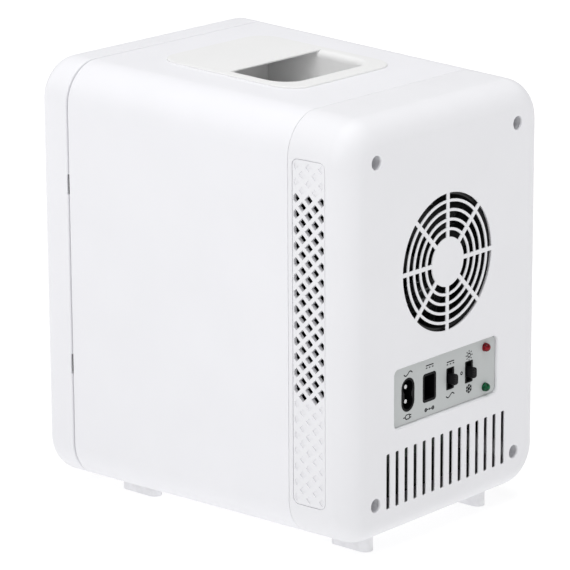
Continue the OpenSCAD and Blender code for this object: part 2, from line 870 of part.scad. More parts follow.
module control_panel() {
    color("lightgray") difference() {
        union() {
            ahead_from(panel_recess, panel_t) translate([0, panel_z])
                rounded(panel_w - fit, panel_h - fit, 3);
            ahead_from(skin + 0.1, panel_back - skin - 0.1) translate([0, panel_z])
                rounded(panel_w + 4, panel_h + 4, 3);
        }
        ahead_from(0, panel_back + cut) {
            translate([ac_x, panel_z]) rounded(ac_w, ac_h, ac_w / 2 - hair);
            translate([dc_x, panel_z]) rounded(dc_w, dc_h, 2);
            for (x = [power_x, mode_x]) translate([x, switch_z]) rounded(switch_w, switch_h, 0.8);
            for (z = [-1, 1]) translate([lamp_x, panel_z + z * lamp_rise]) circle(r = lamp_r + 0.1);
        }
    }
}

module ac_inlet() {
    face = panel_recess + 0.1;
    color([0.08, 0.08, 0.08]) translate([0, 0, panel_z]) difference() {
        union() {
            ahead_from(face, socket_deep) translate([ac_x, 0])
                rounded(ac_w - fit, ac_h - fit, (ac_w - fit) / 2 - hair);
            ahead_from(panel_back + hair, socket_deep - 1) translate([ac_x, 0])
                rounded(ac_w + 4, ac_h + 4, 2);
        }
        ahead_from(face - cut, socket_bore + cut) translate([ac_x, 0]) figure_eight(4.4);
        for (z = [-1, 1]) ahead_from(face, 2 * socket_deep) translate([ac_x, z * pin_pitch / 2])
            circle(r = ac_pin_r);
    }
}

module ac_inlet_pins() {
    color("silver") for (z = [-1, 1])
        ahead_from(ac_pin_start, board_ahead - ac_pin_start)
            translate([ac_x, panel_z + z * pin_pitch / 2]) circle(r = ac_pin_r);
}

module dc_socket() {
    face = panel_recess + 0.1;
    color([0.08, 0.08, 0.08]) translate([0, 0, panel_z]) difference() {
        union() {
            ahead_from(face, socket_deep) translate([dc_x, 0]) rounded(dc_w - fit, dc_h - fit, 1.9);
            ahead_from(panel_back + hair, socket_deep - 1) translate([dc_x, 0])
                rounded(dc_w + 2, dc_h + 5, 2);
        }
        ahead_from(face - cut, socket_bore + cut) translate([dc_x, 0]) rounded(dc_w - 3, dc_h - 3, 1);
        for (z = [-1, 1]) ahead_from(face, 2 * socket_deep) translate([dc_x, z * dc_pin_at])
            circle(r = dc_pin_r);
    }
}

module dc_socket_pins() {
    color("gold") for (z = [-1, 1])
        ahead_from(dc_pin_start, board_ahead - dc_pin_start)
            translate([dc_x, panel_z + z * dc_pin_at]) circle(r = dc_pin_r);
}

module switch_body(x) {
    face = panel_recess + 0.2;
    track_h = knob_h + 2 * knob_travel + 0.3;
    track_w = knob_w + 0.3;
    color([0.08, 0.08, 0.08]) translate([x, 0, switch_z]) difference() {
        union() {
            ahead_from(face, 5) rounded(switch_w - fit, switch_h - fit, 0.7);
            ahead_from(panel_back + hair, 7) square([switch_w + 2.4, switch_h + 5], center = true);
        }
        ahead_from(face - cut, 5 + cut) square([track_w, track_h], center = true);
    }
}
module switch_knob(x) {
    foot = panel_recess + 4.8;
    color([0.05, 0.05, 0.05]) translate([x, 0, switch_z]) {
        ahead_from(-knob_proud, foot + knob_proud) rounded(knob_w, knob_h, 1.6);
    }
}
module power_switch_body() {
    switch_body(power_x);
}
module power_switch_knob() {
    switch_knob(power_x);
}
module mode_switch_body() {
    switch_body(mode_x);
}
module mode_switch_knob() {
    switch_knob(mode_x);
}

module lamp(z) {
    translate([lamp_x, y_at(panel_recess - lamp_proud + lamp_r), z]) {
        rotate([90, 0, 0]) cylinder(r = lamp_r, h = 5);
        intersection() {
            sphere(r = lamp_r);
            translate([-lamp_r, -hair, -lamp_r]) cube(2 * lamp_r);
        }
    }
    ahead_from(panel_back + hair, 1.4) translate([lamp_x, z]) circle(r = lamp_r + 0.5);
}
module red_led() {
    color("red") lamp(panel_z + lamp_rise);
}
module green_led() {
    color("limegreen") lamp(panel_z - lamp_rise);
}

// ==== electronics

module power_board() {
    color("darkgreen") ahead_from(board_ahead, board_t - hair) translate([0, board_z])
        square([board_w, board_h], center = true);
}

module transformer() {
    color("goldenrod") {
        ahead_from(board_back, 14) translate([-18, board_z + 6]) square([24, 20], center = true);
        ahead_from(board_back + 3, 8) translate([-18, board_z + 6]) square([30, 14], center = true);
    }
}

module capacitors() {
    color("navy") {
        ahead_from(board_back, 15) translate([10, board_z + 12]) circle(r = 7);
        for (x = [26, 36]) ahead_from(board_back, 11) translate([x, board_z - 2]) circle(r = 4);
    }
}

module board_heat_sinks() {
    fins = 5;
    color("silver") for (x = [2, 20]) translate([x, 0, board_z - 20]) {
        ahead_from(board_back, 12) square([12, 2], center = true);
        for (i = [0:fins - 1]) ahead_from(board_back, 12)
            translate([(i - (fins - 1) / 2) * 2.6, 2.4]) square([1, 4], center = true);
    }
}

// Way of the heat pump's wires, down through the foam and back to the board
function lead_path(side) = [
    [side * lead_x, y_at(module_ahead + module_t / 2), fan_z - module_w / 2],
    [side * lead_x, y_at(module_ahead + module_t / 2), lead_z],
    [side * lead_x, y_at(board_back + 3), lead_z],
    [side * lead_x, y_at(board_back + 0.6), board_z + board_h / 2 - 3]
];

module fan_lead() {
    side_y = y_at(fan_ahead + fan_t - 5);
    color("black") for (i = [0, 1]) {
        out_x = fan_size / 2 + 2 + i * 1.8;
        top_lead_z = fan_z - 33 + i * 1.8;
        wire([
            [fan_size / 2, side_y, top_lead_z],
            [out_x, side_y, top_lead_z],
            [out_x, side_y, board_z + board_h / 2 - 4],
            [out_x, y_at(board_ahead - 0.7), board_z + board_h / 2 - 5]
        ], 0.7);
    }
}
module module_leads() {
    color("red") for (x = [-1, 1]) wire(lead_path(x), 0.6);
}

// ==== fixings and feet

module rear_screws() {
    color("silver") for (x = [-1, 1], z = [-1, 1])
        screw_ahead(x * well_x, face_z + z * well_z, well_end - well_floor, 3.2, 2.4, screw_r, 12.5);
}

module feet() {
    color("whitesmoke") for (f = FEET) translate([f[0], y_at(f[1]), 0]) difference() {
        linear_extrude(foot_h) rounded(foot_w, foot_l, foot_w / 2 - hair);
        translate([0, 0, -cut]) cylinder(r = 2.9, h = 6 + cut);
        cylinder(r = screw_r + 0.2, h = foot_h + cut);
    }
}

module foot_screws() {
    color("silver") for (f = FEET) translate([f[0], y_at(f[1]), 0]) difference() {
        union() {
            translate([0, 0, 4]) cylinder(r = 2.6, h = 2);
            translate([0, 0, 6]) cylinder(r = screw_r, h = 13);
        }
        translate([0, 0, 3]) linear_extrude(2) {
            square([3.4, 0.7], center = true);
            square([0.7, 3.4], center = true);
        }
    }
}

// ==== door

// Hollows that the brackets' hooks stand in, with a slit that runs out through the door's side
module hinge_notches() {
    for (z = [low_hinge_z, high_hinge_z]) {
        ahead_from(door_rear - cut, notch_deep + cut)
            translate([hinge_x + (notch_out - notch_in) / 2, z])
                square([notch_in + notch_out, notch_h], center = true);
        ahead_from(door_rear - cut, slit_t + cut) translate([hinge_x + notch_in / 2, z])
            square([notch_in, notch_h], center = true);
    }
}

// Blocks round the hollows, which hold the pins
module knuckles(grow) {
    low_x = hinge_x - notch_in - knuckle_wall - grow;
    high_x = half_w(door_rear) - 1 + grow;
    start = door_rear + knuckle_wall - grow;
    for (z = [low_hinge_z, high_hinge_z])
        ahead_from(start, door_rear + notch_deep + knuckle_wall + grow - start)
            translate([(low_x + high_x) / 2, z])
                square([high_x - low_x, knuckle_h + 2 * grow], center = true);
}
module hinge_bores() {
    for (z = [low_hinge_z, high_hinge_z])
        translate([hinge_x, y_at(hinge_ahead), z - pin_l / 2]) cylinder(r = pin_r, h = pin_l);
}
module pull_block(grow) {
    ahead_from(door_rear + 1.7 - grow, 8.5 + 2 * grow) translate([-88.6, pull_z])
        square([8 + 2 * grow, pull_h + 6 + 2 * grow], center = true);
}

module door_shell() {
    color("white") difference() {
        union() {
            difference() {
                stretched(concat([[door_rear, 1.2], [door_rear + 0.35, 0.35], [door_rear + 1.2, 0]],
                    front_round(0)));
                stretched(concat([[door_rear - cut, door_skin]], front_round(door_skin)));
            }
            knuckles(0);
            pull_block(0);
        }
        hinge_notches();
        hinge_bores();
        translate([-half_w(door_rear) - pull_out, y_at(door_rear), pull_z - pull_h / 2])
            cylinder(r = pull_r, h = pull_h);
    }
}

module door_liner() {
    flange_t = 1.6;
    plug_ahead = door_rear - plug_t;
    color("white") difference() {
        union() {
            ahead_from(door_rear, flange_t) section(door_rear, door_skin + 0.15);
            ahead_from(plug_ahead, plug_t + hair) translate([0, liner_mid])
                rounded(2 * plug_half, plug_h, 7);
            ahead_from(door_rear, tray_depth + flange_t) translate([0, liner_mid])
                rounded(2 * tray_half + 3, tray_h + 3, 7);
        }
        ahead_from(plug_ahead - cut, plug_t + tray_depth + cut) translate([0, liner_mid])
            rounded(2 * tray_half, tray_h, 6);
        hinge_notches();
        translate([-half_w(door_rear) - pull_out, y_at(door_rear), pull_z - pull_h / 2])
            cylinder(r = pull_r, h = pull_h);
    }
}

module door_foam() {
    color("aliceblue") difference() {
        stretched(concat([[door_rear + 1.8, door_skin + 0.4]], front_round(door_skin + 0.4)));
        ahead_from(door_rear, tray_depth + 2) translate([0, liner_mid])
            rounded(2 * tray_half + 3.6, tray_h + 3.6, 7.3);
        hinge_notches();
        knuckles(0.3);
        pull_block(0.3);
        ahead_from(door_rear, magnet_set + magnet_t + 0.4) translate([catch_x, catch_z])
            square([magnet_w + 1, magnet_h + 1], center = true);
    }
}

module door_gasket() {
    inner_half = liner_half - liner_skin + 2;
    color("gainsboro") ahead_from(door_rear - gasket_t, gasket_t) translate([0, liner_mid])
        difference() {
            rounded(2 * inner_half + 12, liner_h - 2 * liner_skin + 16, 15);
            rounded(2 * inner_half, liner_h - 2 * liner_skin + 4, 9);
        }
}

module door_magnet() {
    color("dimgray") ahead_from(door_rear + magnet_set, magnet_t) translate([catch_x, catch_z])
        square([magnet_w, magnet_h], center = true);
}

module hinge_pins() {
    color("silver") hinge_bores();
}

main_housing();
rear_cover();
left_vent_grille();
right_vent_grille();
handle_plate();
handle_tub();
handle_screws();
front_frame();
upper_hinge_bracket();
lower_hinge_bracket();
hinge_screws();
strike_plate();
foam_insulation();
inner_liner();
shelf();
back_plate();
cold_plate();
cold_plate_screws();
cold_block();
peltier_module();
heat_sink();
temperature_sensor();
fan_frame();
fan_bearing();
fan_screws();
fan_rotor();
fan_shaft();
control_panel();
ac_inlet();
ac_inlet_pins();
dc_socket();
dc_socket_pins();
power_switch_body();
power_switch_knob();
mode_switch_body();
mode_switch_knob();
red_led();
green_led();
power_board();
transformer();
capacitors();
board_heat_sinks();
fan_lead();
module_leads();
rear_screws();
feet();
foot_screws();
door_shell();
door_liner();
door_foam();
door_gasket();
door_magnet();
hinge_pins();
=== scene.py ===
# Mini fridge: the looks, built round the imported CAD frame.
# Sizes are in millimetres until a mesh is made, and places are taken from the frame.
# "Ahead" is the distance forward of the rear face, as the fridge is built up from that face.
import math

import bmesh
import bpy
from mathutils import Matrix, Vector


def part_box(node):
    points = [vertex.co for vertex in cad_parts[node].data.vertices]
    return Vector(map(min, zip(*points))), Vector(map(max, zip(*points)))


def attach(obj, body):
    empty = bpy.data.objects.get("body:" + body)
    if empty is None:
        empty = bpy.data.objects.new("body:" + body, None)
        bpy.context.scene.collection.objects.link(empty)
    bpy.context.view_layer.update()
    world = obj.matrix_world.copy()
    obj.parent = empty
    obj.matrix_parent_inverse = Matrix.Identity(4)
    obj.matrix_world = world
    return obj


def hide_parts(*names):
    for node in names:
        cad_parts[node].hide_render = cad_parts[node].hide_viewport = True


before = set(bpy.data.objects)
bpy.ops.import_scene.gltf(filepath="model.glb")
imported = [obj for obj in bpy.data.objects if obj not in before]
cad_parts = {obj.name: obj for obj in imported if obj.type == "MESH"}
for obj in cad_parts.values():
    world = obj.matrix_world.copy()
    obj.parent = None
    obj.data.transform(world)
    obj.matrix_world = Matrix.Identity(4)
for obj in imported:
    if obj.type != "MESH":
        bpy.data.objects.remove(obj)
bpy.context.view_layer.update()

scene = bpy.context.scene
MM = 0.001


def corners(node):
    """Lowest and highest corner of a CAD node, in millimetres."""
    low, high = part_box(node)
    return low / MM, high / MM


def middle(node):
    low, high = corners(node)
    return (low + high) / 2


# ---- the cabinet's form, which the shells share

FLARE = math.radians(1.5)  # how far each side leans out on its way forward
RISE = math.radians(2.2)  # how steeply the top climbs on its way forward
CORNER_R = 24.5
REAR_FILLET = 14.5
FRONT_FILLET = 11.0
SKIN = 2.4
DOOR_SKIN = 2.2
SEAM_ROUND = 0.2
SEAM_GAP = 0.2
ARC_STEPS = 14  # steps round a quarter turn of a shell

COVER_HIGH = corners("rear_cover")[1]
HOUSING_LOW, HOUSING_HIGH = corners("main_housing")
DOOR_LOW, DOOR_HIGH = corners("door_shell")
REAR_Y = COVER_HIGH.y
FLOOR_Z = HOUSING_LOW.z
HOUSING_REAR = REAR_Y - HOUSING_HIGH.y
FRAME_FRONT = REAR_Y - HOUSING_LOW.y
COVER_FRONT = HOUSING_REAR - SEAM_GAP
DOOR_REAR = REAR_Y - DOOR_HIGH.y
DEPTH = REAR_Y - DOOR_LOW.y
REAR_HALF = COVER_HIGH.x - COVER_FRONT * math.tan(FLARE)
REAR_TOP = COVER_HIGH.z - COVER_FRONT * math.tan(RISE)


def half_width(ahead):
    return REAR_HALF + ahead * math.tan(FLARE)


def top_height(ahead):
    return REAR_TOP + ahead * math.tan(RISE)


def y_at(ahead):
    return REAR_Y - ahead


# ---- mesh helpers

def arc(cx, cy, r, start, end, steps):
    """Points on an arc, in degrees, ends included."""
    points = []
    for i in range(steps + 1):
        a = math.radians(start + (end - start) * i / steps)
        points.append((cx + r * math.cos(a), cy + r * math.sin(a)))
    return points


def rounded_outline(cx, cy, w, h, r, steps=6):
    """Anticlockwise outline of a rounded rectangle."""
    x, y = w / 2 - r, h / 2 - r
    points = []
    for sx, sy, start in ((1, 1, 0), (-1, 1, 90), (-1, -1, 180), (1, -1, 270)):
        points += arc(cx + sx * x, cy + sy * y, r, start, start + 90, steps)
    return points


def circle_outline(cx, cy, r, steps=64):
    return arc(cx, cy, r, 0, 360, steps)[:-1]


def in_face(points, ahead):
    """A flat outline, drawn in X and Z, set at a distance ahead of the rear face."""
    return [Vector((x, y_at(ahead), z)) for x, z in points]


def cabinet_ring(ahead, inset):
    """Points round the cabinet's outline at a distance ahead, drawn in by an inset."""
    low = FLOOR_Z + inset
    high = top_height(ahead) - inset
    width = 2 * (half_width(ahead) - inset)
    r = CORNER_R - inset
    return in_face(rounded_outline(0, (low + high) / 2, width, high - low, r, ARC_STEPS), ahead)


def bridge(bm, rings, closed=False):
    """Faces between rings of the same count, and the rings' vertices."""
    loops = [[bm.verts.new(p) for p in ring] for ring in rings]
    pairs = list(zip(loops, loops[1:]))
    if closed:
        pairs.append((loops[-1], loops[0]))
    for a, b in pairs:
        n = len(a)
        for i in range(n):
            j = (i + 1) % n
            bm.faces.new((a[i], a[j], b[j], b[i]))
    return loops


def cap(bm, loop):
    bm.faces.new(loop)


def solid_from(rings, closed=False):
    """A closed solid through rings: a tube wall if closed on itself, else capped at both ends."""
    bm = bmesh.new()
    loops = bridge(bm, rings, closed)
    if not closed:
        cap(bm, loops[0])
        cap(bm, loops[-1])
    bmesh.ops.recalc_face_normals(bm, faces=bm.faces)
    return bm


def add_box(bm, low, high):
    low, high = Vector(low), Vector(high)
    size = high - low
    place = Matrix.Translation((low + high) / 2) @ Matrix.Diagonal((size.x, size.y, size.z, 1))
    bmesh.ops.create_cube(bm, size=1, matrix=place)


def add_rings(bm, rings, closed=False):
    """Adds a solid through rings to a mesh that holds others."""
    other = solid_from(rings, closed)
    scratch = bpy.data.meshes.new("scratch")
    other.to_mesh(scratch)
    other.free()
    bm.from_mesh(scratch)
    bpy.data.meshes.remove(scratch)


def to_object(bm, name, place=None):
    """A smooth-shaded object in metres from a mesh in millimetres."""
    if place is not None:
        bm.transform(place)
    bm.transform(Matrix.Scale(MM, 4))
    mesh = bpy.data.meshes.new(name)
    bm.to_mesh(mesh)
    bm.free()
    obj = bpy.data.objects.new(name, mesh)
    scene.collection.objects.link(obj)
    smooth(obj)
    return obj


def smooth(obj, sharp=35):
    obj.data.polygons.foreach_set("use_smooth", [True] * len(obj.data.polygons))
    obj.data.set_sharp_from_angle(angle=math.radians(sharp))


def settle_normals(obj):
    """Lets the large flat faces set the shading beside them."""
    weigh = obj.modifiers.new("even_shading", "WEIGHTED_NORMAL")
    weigh.keep_sharp = True
    weigh.weight = 80


def round_edges(obj, width, segments=2, angle=40):
    edge = obj.modifiers.new("rounded_edges", "BEVEL")
    edge.width = width * MM
    edge.segments = segments
    edge.limit_method = "ANGLE"
    edge.angle_limit = math.radians(angle)
    edge.harden_normals = False
    smooth(obj, angle)
    settle_normals(obj)


def carve(obj, cutter):
    """Cuts one object out of another for good and removes the cutter."""
    cut = obj.modifiers.new("cut", "BOOLEAN")
    cut.operation = "DIFFERENCE"
    cut.solver = "EXACT"
    cut.object = cutter
    depsgraph = bpy.context.evaluated_depsgraph_get()
    mesh = bpy.data.meshes.new_from_object(obj.evaluated_get(depsgraph))
    obj.modifiers.clear()
    old = obj.data
    obj.data = mesh
    mesh.name = old.name
    bpy.data.meshes.remove(old)
    bpy.data.objects.remove(cutter)
    smooth(obj)


def hole_rings(outline_at, surface, depth, rounding, out=3.0, steps=4, place=in_face):
    """Rings of a cutter whose mouth flares, so that the hole that it leaves has a rounded edge.
    outline_at gives the outline grown by an amount, and surface and depth are distances ahead."""
    rings = [place(outline_at(rounding), surface - out)]
    for i in range(steps + 1):
        a = math.radians(90 * i / steps)
        grow = rounding * (1 - math.sin(a))
        rings.append(place(outline_at(grow), surface + rounding * (1 - math.cos(a))))
    rings.append(place(outline_at(0), surface + depth))
    return rings


def raised_rings(outline_at, base, height, rounding, steps=4, place=in_face):
    """Rings of a slab with a rounded upper edge. Heights are measured back from the base's place."""
    rings = [place(outline_at(0), base)]
    for i in range(steps + 1):
        a = math.radians(90 * i / steps)
        grow = -rounding * (1 - math.cos(a))
        rings.append(place(outline_at(grow), base - height + rounding * (1 - math.sin(a))))
    return rings


def finish_piece(obj, body, material, *nodes, slot=None):
    obj.data.materials.clear()
    obj.data.materials.append(material)
    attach(obj, body)
    if nodes:
        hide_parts(*nodes)
    return obj


# ---- materials

def blank(name):
    mat = bpy.data.materials.new(name)
    mat.use_nodes = True
    tree = mat.node_tree
    shader = tree.nodes["Principled BSDF"]
    coords = tree.nodes.new("ShaderNodeTexCoord")
    return mat, tree, shader, coords.outputs["Object"]


def noise(tree, coords, size_mm, detail=2.0, stretch=(1, 1, 1)):
    """Noise whose features are about that many millimetres across."""
    scale = tree.nodes.new("ShaderNodeMapping")
    scale.inputs["Scale"].default_value = [s / (size_mm * MM) for s in stretch]
    tree.links.new(coords, scale.inputs["Vector"])
    tex = tree.nodes.new("ShaderNodeTexNoise")
    tex.inputs["Scale"].default_value = 1.0
    tex.inputs["Detail"].default_value = detail
    tree.links.new(scale.outputs["Vector"], tex.inputs["Vector"])
    return tex.outputs["Fac"]


def spread(tree, value, low, high, start=0.3, end=0.7):
    ramp = tree.nodes.new("ShaderNodeMapRange")
    ramp.inputs["From Min"].default_value = start
    ramp.inputs["From Max"].default_value = end
    ramp.inputs["To Min"].default_value = low
    ramp.inputs["To Max"].default_value = high
    tree.links.new(value, ramp.inputs["Value"])
    return ramp.outputs["Result"]


def blend_colour(tree, factor, first, second):
    mix = tree.nodes.new("ShaderNodeMix")
    mix.data_type = "RGBA"
    mix.inputs["A"].default_value = (*first, 1)
    mix.inputs["B"].default_value = (*second, 1)
    tree.links.new(factor, mix.inputs["Factor"])
    return mix.outputs["Result"]


def relief(tree, shader, height, depth_mm, strength=1.0):
    bump = tree.nodes.new("ShaderNodeBump")
    bump.inputs["Strength"].default_value = strength
    bump.inputs["Distance"].default_value = depth_mm * MM
    tree.links.new(height, bump.inputs["Height"])
    tree.links.new(bump.outputs["Normal"], shader.inputs["Normal"])


def colour_from(tree, shader, factor, first, second):
    """Makes the base colour run from the first colour to the second as the factor goes from 0 to 1."""
    tree.links.new(blend_colour(tree, factor, first, second), shader.inputs["Base Color"])


def roughness_from(tree, shader, value, low, high):
    tree.links.new(spread(tree, value, low, high), shader.inputs["Roughness"])


DRIFT_SIZE = 45  # millimetres across a patch of slightly other colour
GLOSS_SIZE = 9  # millimetres across a patch of slightly other gloss
GLOSS_SPREAD = 0.04


def plastic(name, colour, roughness, drift=0.02, grain=0.5, depth=0.012, shine=0.4):
    """Moulded plastic: a fine spark-eroded grain, slow drift of colour, and uneven gloss."""
    mat, tree, shader, coords = blank(name)
    slow = noise(tree, coords, DRIFT_SIZE, 3)
    darker = [c * (1 - drift) for c in colour]
    colour_from(tree, shader, spread(tree, slow, 0, 1), darker, colour)
    fine = noise(tree, coords, grain, 2)
    patches = noise(tree, coords, GLOSS_SIZE, 3)
    roughness_from(tree, shader, patches, roughness - GLOSS_SPREAD, roughness + GLOSS_SPREAD)
    relief(tree, shader, fine, depth)
    shader.inputs["Specular IOR Level"].default_value = shine
    return mat


def brushed(name, colour, roughness, along=(1, 1, 14), size=0.5, depth=0.006):
    """Metal with fine lines drawn across the stretched axis."""
    mat, tree, shader, coords = blank(name)
    lines = noise(tree, coords, size, 3, along)
    darker = [c * 0.82 for c in colour]
    colour_from(tree, shader, spread(tree, lines, 0, 1), darker, colour)
    roughness_from(tree, shader, lines, roughness - 0.08, roughness + 0.1)
    shader.inputs["Metallic"].default_value = 1.0
    relief(tree, shader, lines, depth)
    return mat


FOAM_BEAD = 3.2


def foam_material(name):
    """Bead foam: pale beads with darker, sunken lines between them."""
    mat, tree, shader, coords = blank(name)
    beads = tree.nodes.new("ShaderNodeTexVoronoi")
    beads.inputs["Scale"].default_value = 1 / (FOAM_BEAD * MM)
    tree.links.new(coords, beads.inputs["Vector"])
    tone = spread(tree, beads.outputs["Distance"], 0, 1, 0, 0.7)
    colour_from(tree, shader, tone, (0.9, 0.91, 0.93), (0.72, 0.73, 0.76))
    shader.inputs["Roughness"].default_value = 0.85
    relief(tree, shader, tone, 0.25, 0.6)
    return mat


def rubber(name, colour, roughness=0.6):
    """Rubber: matt, with faint dust in patches and a fine tooth."""
    mat, tree, shader, coords = blank(name)
    dust = noise(tree, coords, 6, 4)
    lighter = [min(1, c * 1.12 + 0.01) for c in colour]
    colour_from(tree, shader, spread(tree, dust, 0, 1), colour, lighter)
    roughness_from(tree, shader, dust, roughness - 0.08, roughness + 0.08)
    relief(tree, shader, noise(tree, coords, 0.6, 2), 0.03)
    return mat


def lamp_material(name, deep, bright):
    """Tinted lamp body, unlit, with its colour and gloss in soft patches."""
    mat, tree, shader, coords = blank(name)
    inner = noise(tree, coords, 1.6, 2)
    colour_from(tree, shader, spread(tree, inner, 0, 1, 0.35, 0.7), deep, bright)
    roughness_from(tree, shader, inner, 0.08, 0.2)
    shader.inputs["Specular IOR Level"].default_value = 0.2
    shader.inputs["Subsurface Weight"].default_value = 0.1
    return mat


TRACK_CELL = 7


def board_material(name):
    """Dark green lacquered laminate, a little lighter where it passes over its copper tracks."""
    mat, tree, shader, coords = blank(name)
    cells = tree.nodes.new("ShaderNodeTexVoronoi")
    cells.feature = "DISTANCE_TO_EDGE"
    cells.inputs["Scale"].default_value = 1 / (TRACK_CELL * MM)
    tree.links.new(coords, cells.inputs["Vector"])
    track = spread(tree, cells.outputs["Distance"], 1, 0, 0.05, 0.09)
    colour_from(tree, shader, track, (0.003, 0.012, 0.007), (0.008, 0.03, 0.014))
    shader.inputs["Roughness"].default_value = 0.32
    relief(tree, shader, track, 0.05)
    return mat


WHITE = (0.84, 0.84, 0.87)
body_white = plastic("body_white_plastic", WHITE, 0.42)
cover_white = plastic("cover_white_plastic", (0.815, 0.815, 0.84), 0.44)
grip_white = plastic("grip_white_plastic", (0.82, 0.82, 0.82), 0.46)
door_white = plastic("door_white_plastic", WHITE, 0.38)
frame_white = plastic("frame_white_plastic", (0.78, 0.78, 0.79), 0.45)
liner_grey = plastic("liner_plastic", (0.62, 0.64, 0.67), 0.3, depth=0.006)
shelf_white = plastic("shelf_plastic", (0.80, 0.82, 0.85), 0.22, depth=0.004)
door_liner_white = plastic("door_liner_plastic", (0.76, 0.77, 0.79), 0.3, depth=0.006)
plate_black = plastic("inner_plate_plastic", (0.02, 0.02, 0.021), 0.5, drift=0.2, shine=0.2)
panel_grey = plastic("panel_grey_sheet", (0.51, 0.53, 0.53), 0.5, drift=0.04, grain=0.35, depth=0.02)
socket_black = plastic("socket_black_plastic", (0.004, 0.004, 0.005), 0.4, drift=0.3, shine=0.1)
fan_black = plastic("fan_black_plastic", (0.008, 0.008, 0.009), 0.5, drift=0.3)
knob_black = plastic("knob_black_plastic", (0.006, 0.006, 0.007), 0.32, drift=0.25, shine=0.12)
print_ink = plastic("print_ink", (0.01, 0.01, 0.012), 0.6, drift=0.3, depth=0.004, shine=0.1)
sensor_black = plastic("sensor_plastic", (0.03, 0.03, 0.03), 0.4, drift=0.2)
tape_yellow = plastic("winding_tape", (0.6, 0.42, 0.06), 0.35, drift=0.15, grain=1.2, depth=0.05)
can_blue = plastic("capacitor_sleeve", (0.015, 0.02, 0.06), 0.25, drift=0.2)
ceramic_white = plastic("module_ceramic", (0.78, 0.78, 0.75), 0.6, drift=0.05, grain=0.3, depth=0.01)
lead_black = rubber("lead_black", (0.012, 0.012, 0.012), 0.45)
lead_red = rubber("lead_red", (0.4, 0.015, 0.012), 0.45)
foot_rubber = rubber("foot_rubber", (0.80, 0.80, 0.82), 0.62)
gasket_rubber = rubber("gasket_rubber", (0.58, 0.58, 0.59), 0.55)
foam_white = foam_material("insulation_foam")
aluminium = brushed("mill_aluminium", (0.72, 0.73, 0.75), 0.35)
plate_metal = brushed("plate_aluminium", (0.80, 0.81, 0.83), 0.3, along=(1, 1, 24))
screw_metal = brushed("zinc_screw", (0.42, 0.42, 0.44), 0.35, along=(1, 1, 1), size=1.2)
bright_pin = brushed("nickel_pin", (0.6, 0.6, 0.61), 0.25, along=(1, 8, 1))
brass_pin = brushed("brass_pin", (0.8, 0.6, 0.25), 0.25, along=(1, 8, 1))
bronze = brushed("sintered_bronze", (0.5, 0.35, 0.18), 0.5, along=(1, 1, 1), size=0.4, depth=0.02)
bracket_black = brushed("black_bracket_steel", (0.035, 0.035, 0.038), 0.4, along=(1, 1, 1), size=1.0)
magnet_dark = brushed("ferrite", (0.06, 0.06, 0.065), 0.5, along=(1, 1, 1), size=0.8)
red_lamp = lamp_material("red_lamp", (0.04, 0.001, 0.003), (0.28, 0.006, 0.014))
green_lamp = lamp_material("green_lamp", (0.001, 0.022, 0.009), (0.004, 0.15, 0.055))
dark_board = board_material("board_laminate")

CAD_LOOKS = {
    "front_frame": frame_white, "inner_liner": liner_grey, "shelf": shelf_white,
    "back_plate": plate_black, "cold_plate": plate_metal, "cold_block": aluminium,
    "peltier_module": ceramic_white, "heat_sink": aluminium, "temperature_sensor": sensor_black,
    "fan_frame": fan_black, "fan_bearing": bronze, "fan_shaft": screw_metal,
    "handle_tub": grip_white, "handle_screws": screw_metal, "hinge_screws": screw_metal,
    "upper_hinge_bracket": bracket_black, "lower_hinge_bracket": bracket_black,
    "strike_plate": screw_metal, "foam_insulation": foam_white,
    "cold_plate_screws": screw_metal, "fan_screws": screw_metal, "rear_screws": screw_metal,
    "foot_screws": screw_metal, "control_panel": panel_grey, "ac_inlet": socket_black,
    "ac_inlet_pins": bright_pin, "dc_socket": socket_black, "dc_socket_pins": brass_pin,
    "power_switch_body": socket_black, "mode_switch_body": socket_black,
    "power_board": dark_board, "transformer": tape_yellow, "capacitors": can_blue,
    "board_heat_sinks": aluminium, "fan_lead": lead_black, "module_leads": lead_red,
    "feet": foot_rubber, "door_liner": door_liner_white, "door_foam": foam_white,
    "door_magnet": magnet_dark, "hinge_pins": screw_metal, "main_housing": body_white,
    "rear_cover": cover_white, "left_vent_grille": cover_white, "right_vent_grille": cover_white,
    "handle_plate": grip_white, "door_shell": door_white, "door_gasket": gasket_rubber,
    "fan_rotor": fan_black, "power_switch_knob": knob_black, "mode_switch_knob": knob_black,
    "red_led": red_lamp, "green_led": green_lamp,
}
# Width of the rounding, in millimetres, on the edges of CAD nodes that keep their own shape
ROUNDED_NODES = {
    "front_frame": 0.3, "shelf": 0.8, "inner_liner": 0.4, "cold_plate": 0.4, "fan_frame": 0.4,
    "feet": 0.8, "upper_hinge_bracket": 0.4, "lower_hinge_bracket": 0.4, "door_liner": 0.5,
    "power_switch_body": 0.2, "mode_switch_body": 0.2, "dc_socket": 0.25, "ac_inlet": 0.25,
    "transformer": 0.6, "handle_tub": 0.3, "control_panel": 0.2, "heat_sink": 0.1,
}
for node_name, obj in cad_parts.items():
    obj.data.materials.clear()
    obj.data.materials.append(CAD_LOOKS[node_name])
    if node_name in ROUNDED_NODES:
        round_edges(obj, ROUNDED_NODES[node_name])
    else:
        smooth(obj)


# ---- shells of the cabinet

def rear_stations(inset):
    r = REAR_FILLET - inset
    angles = [math.radians(90 * i / ARC_STEPS) for i in range(ARC_STEPS + 1)]
    return [(REAR_FILLET - r * math.cos(a), inset + r * (1 - math.sin(a))) for a in angles]


def front_stations(inset):
    r = FRONT_FILLET - inset
    angles = [math.radians(90 * i / ARC_STEPS) for i in range(ARC_STEPS + 1)]
    return [(DEPTH - FRONT_FILLET + r * math.sin(a), inset + r * (1 - math.cos(a))) for a in angles]


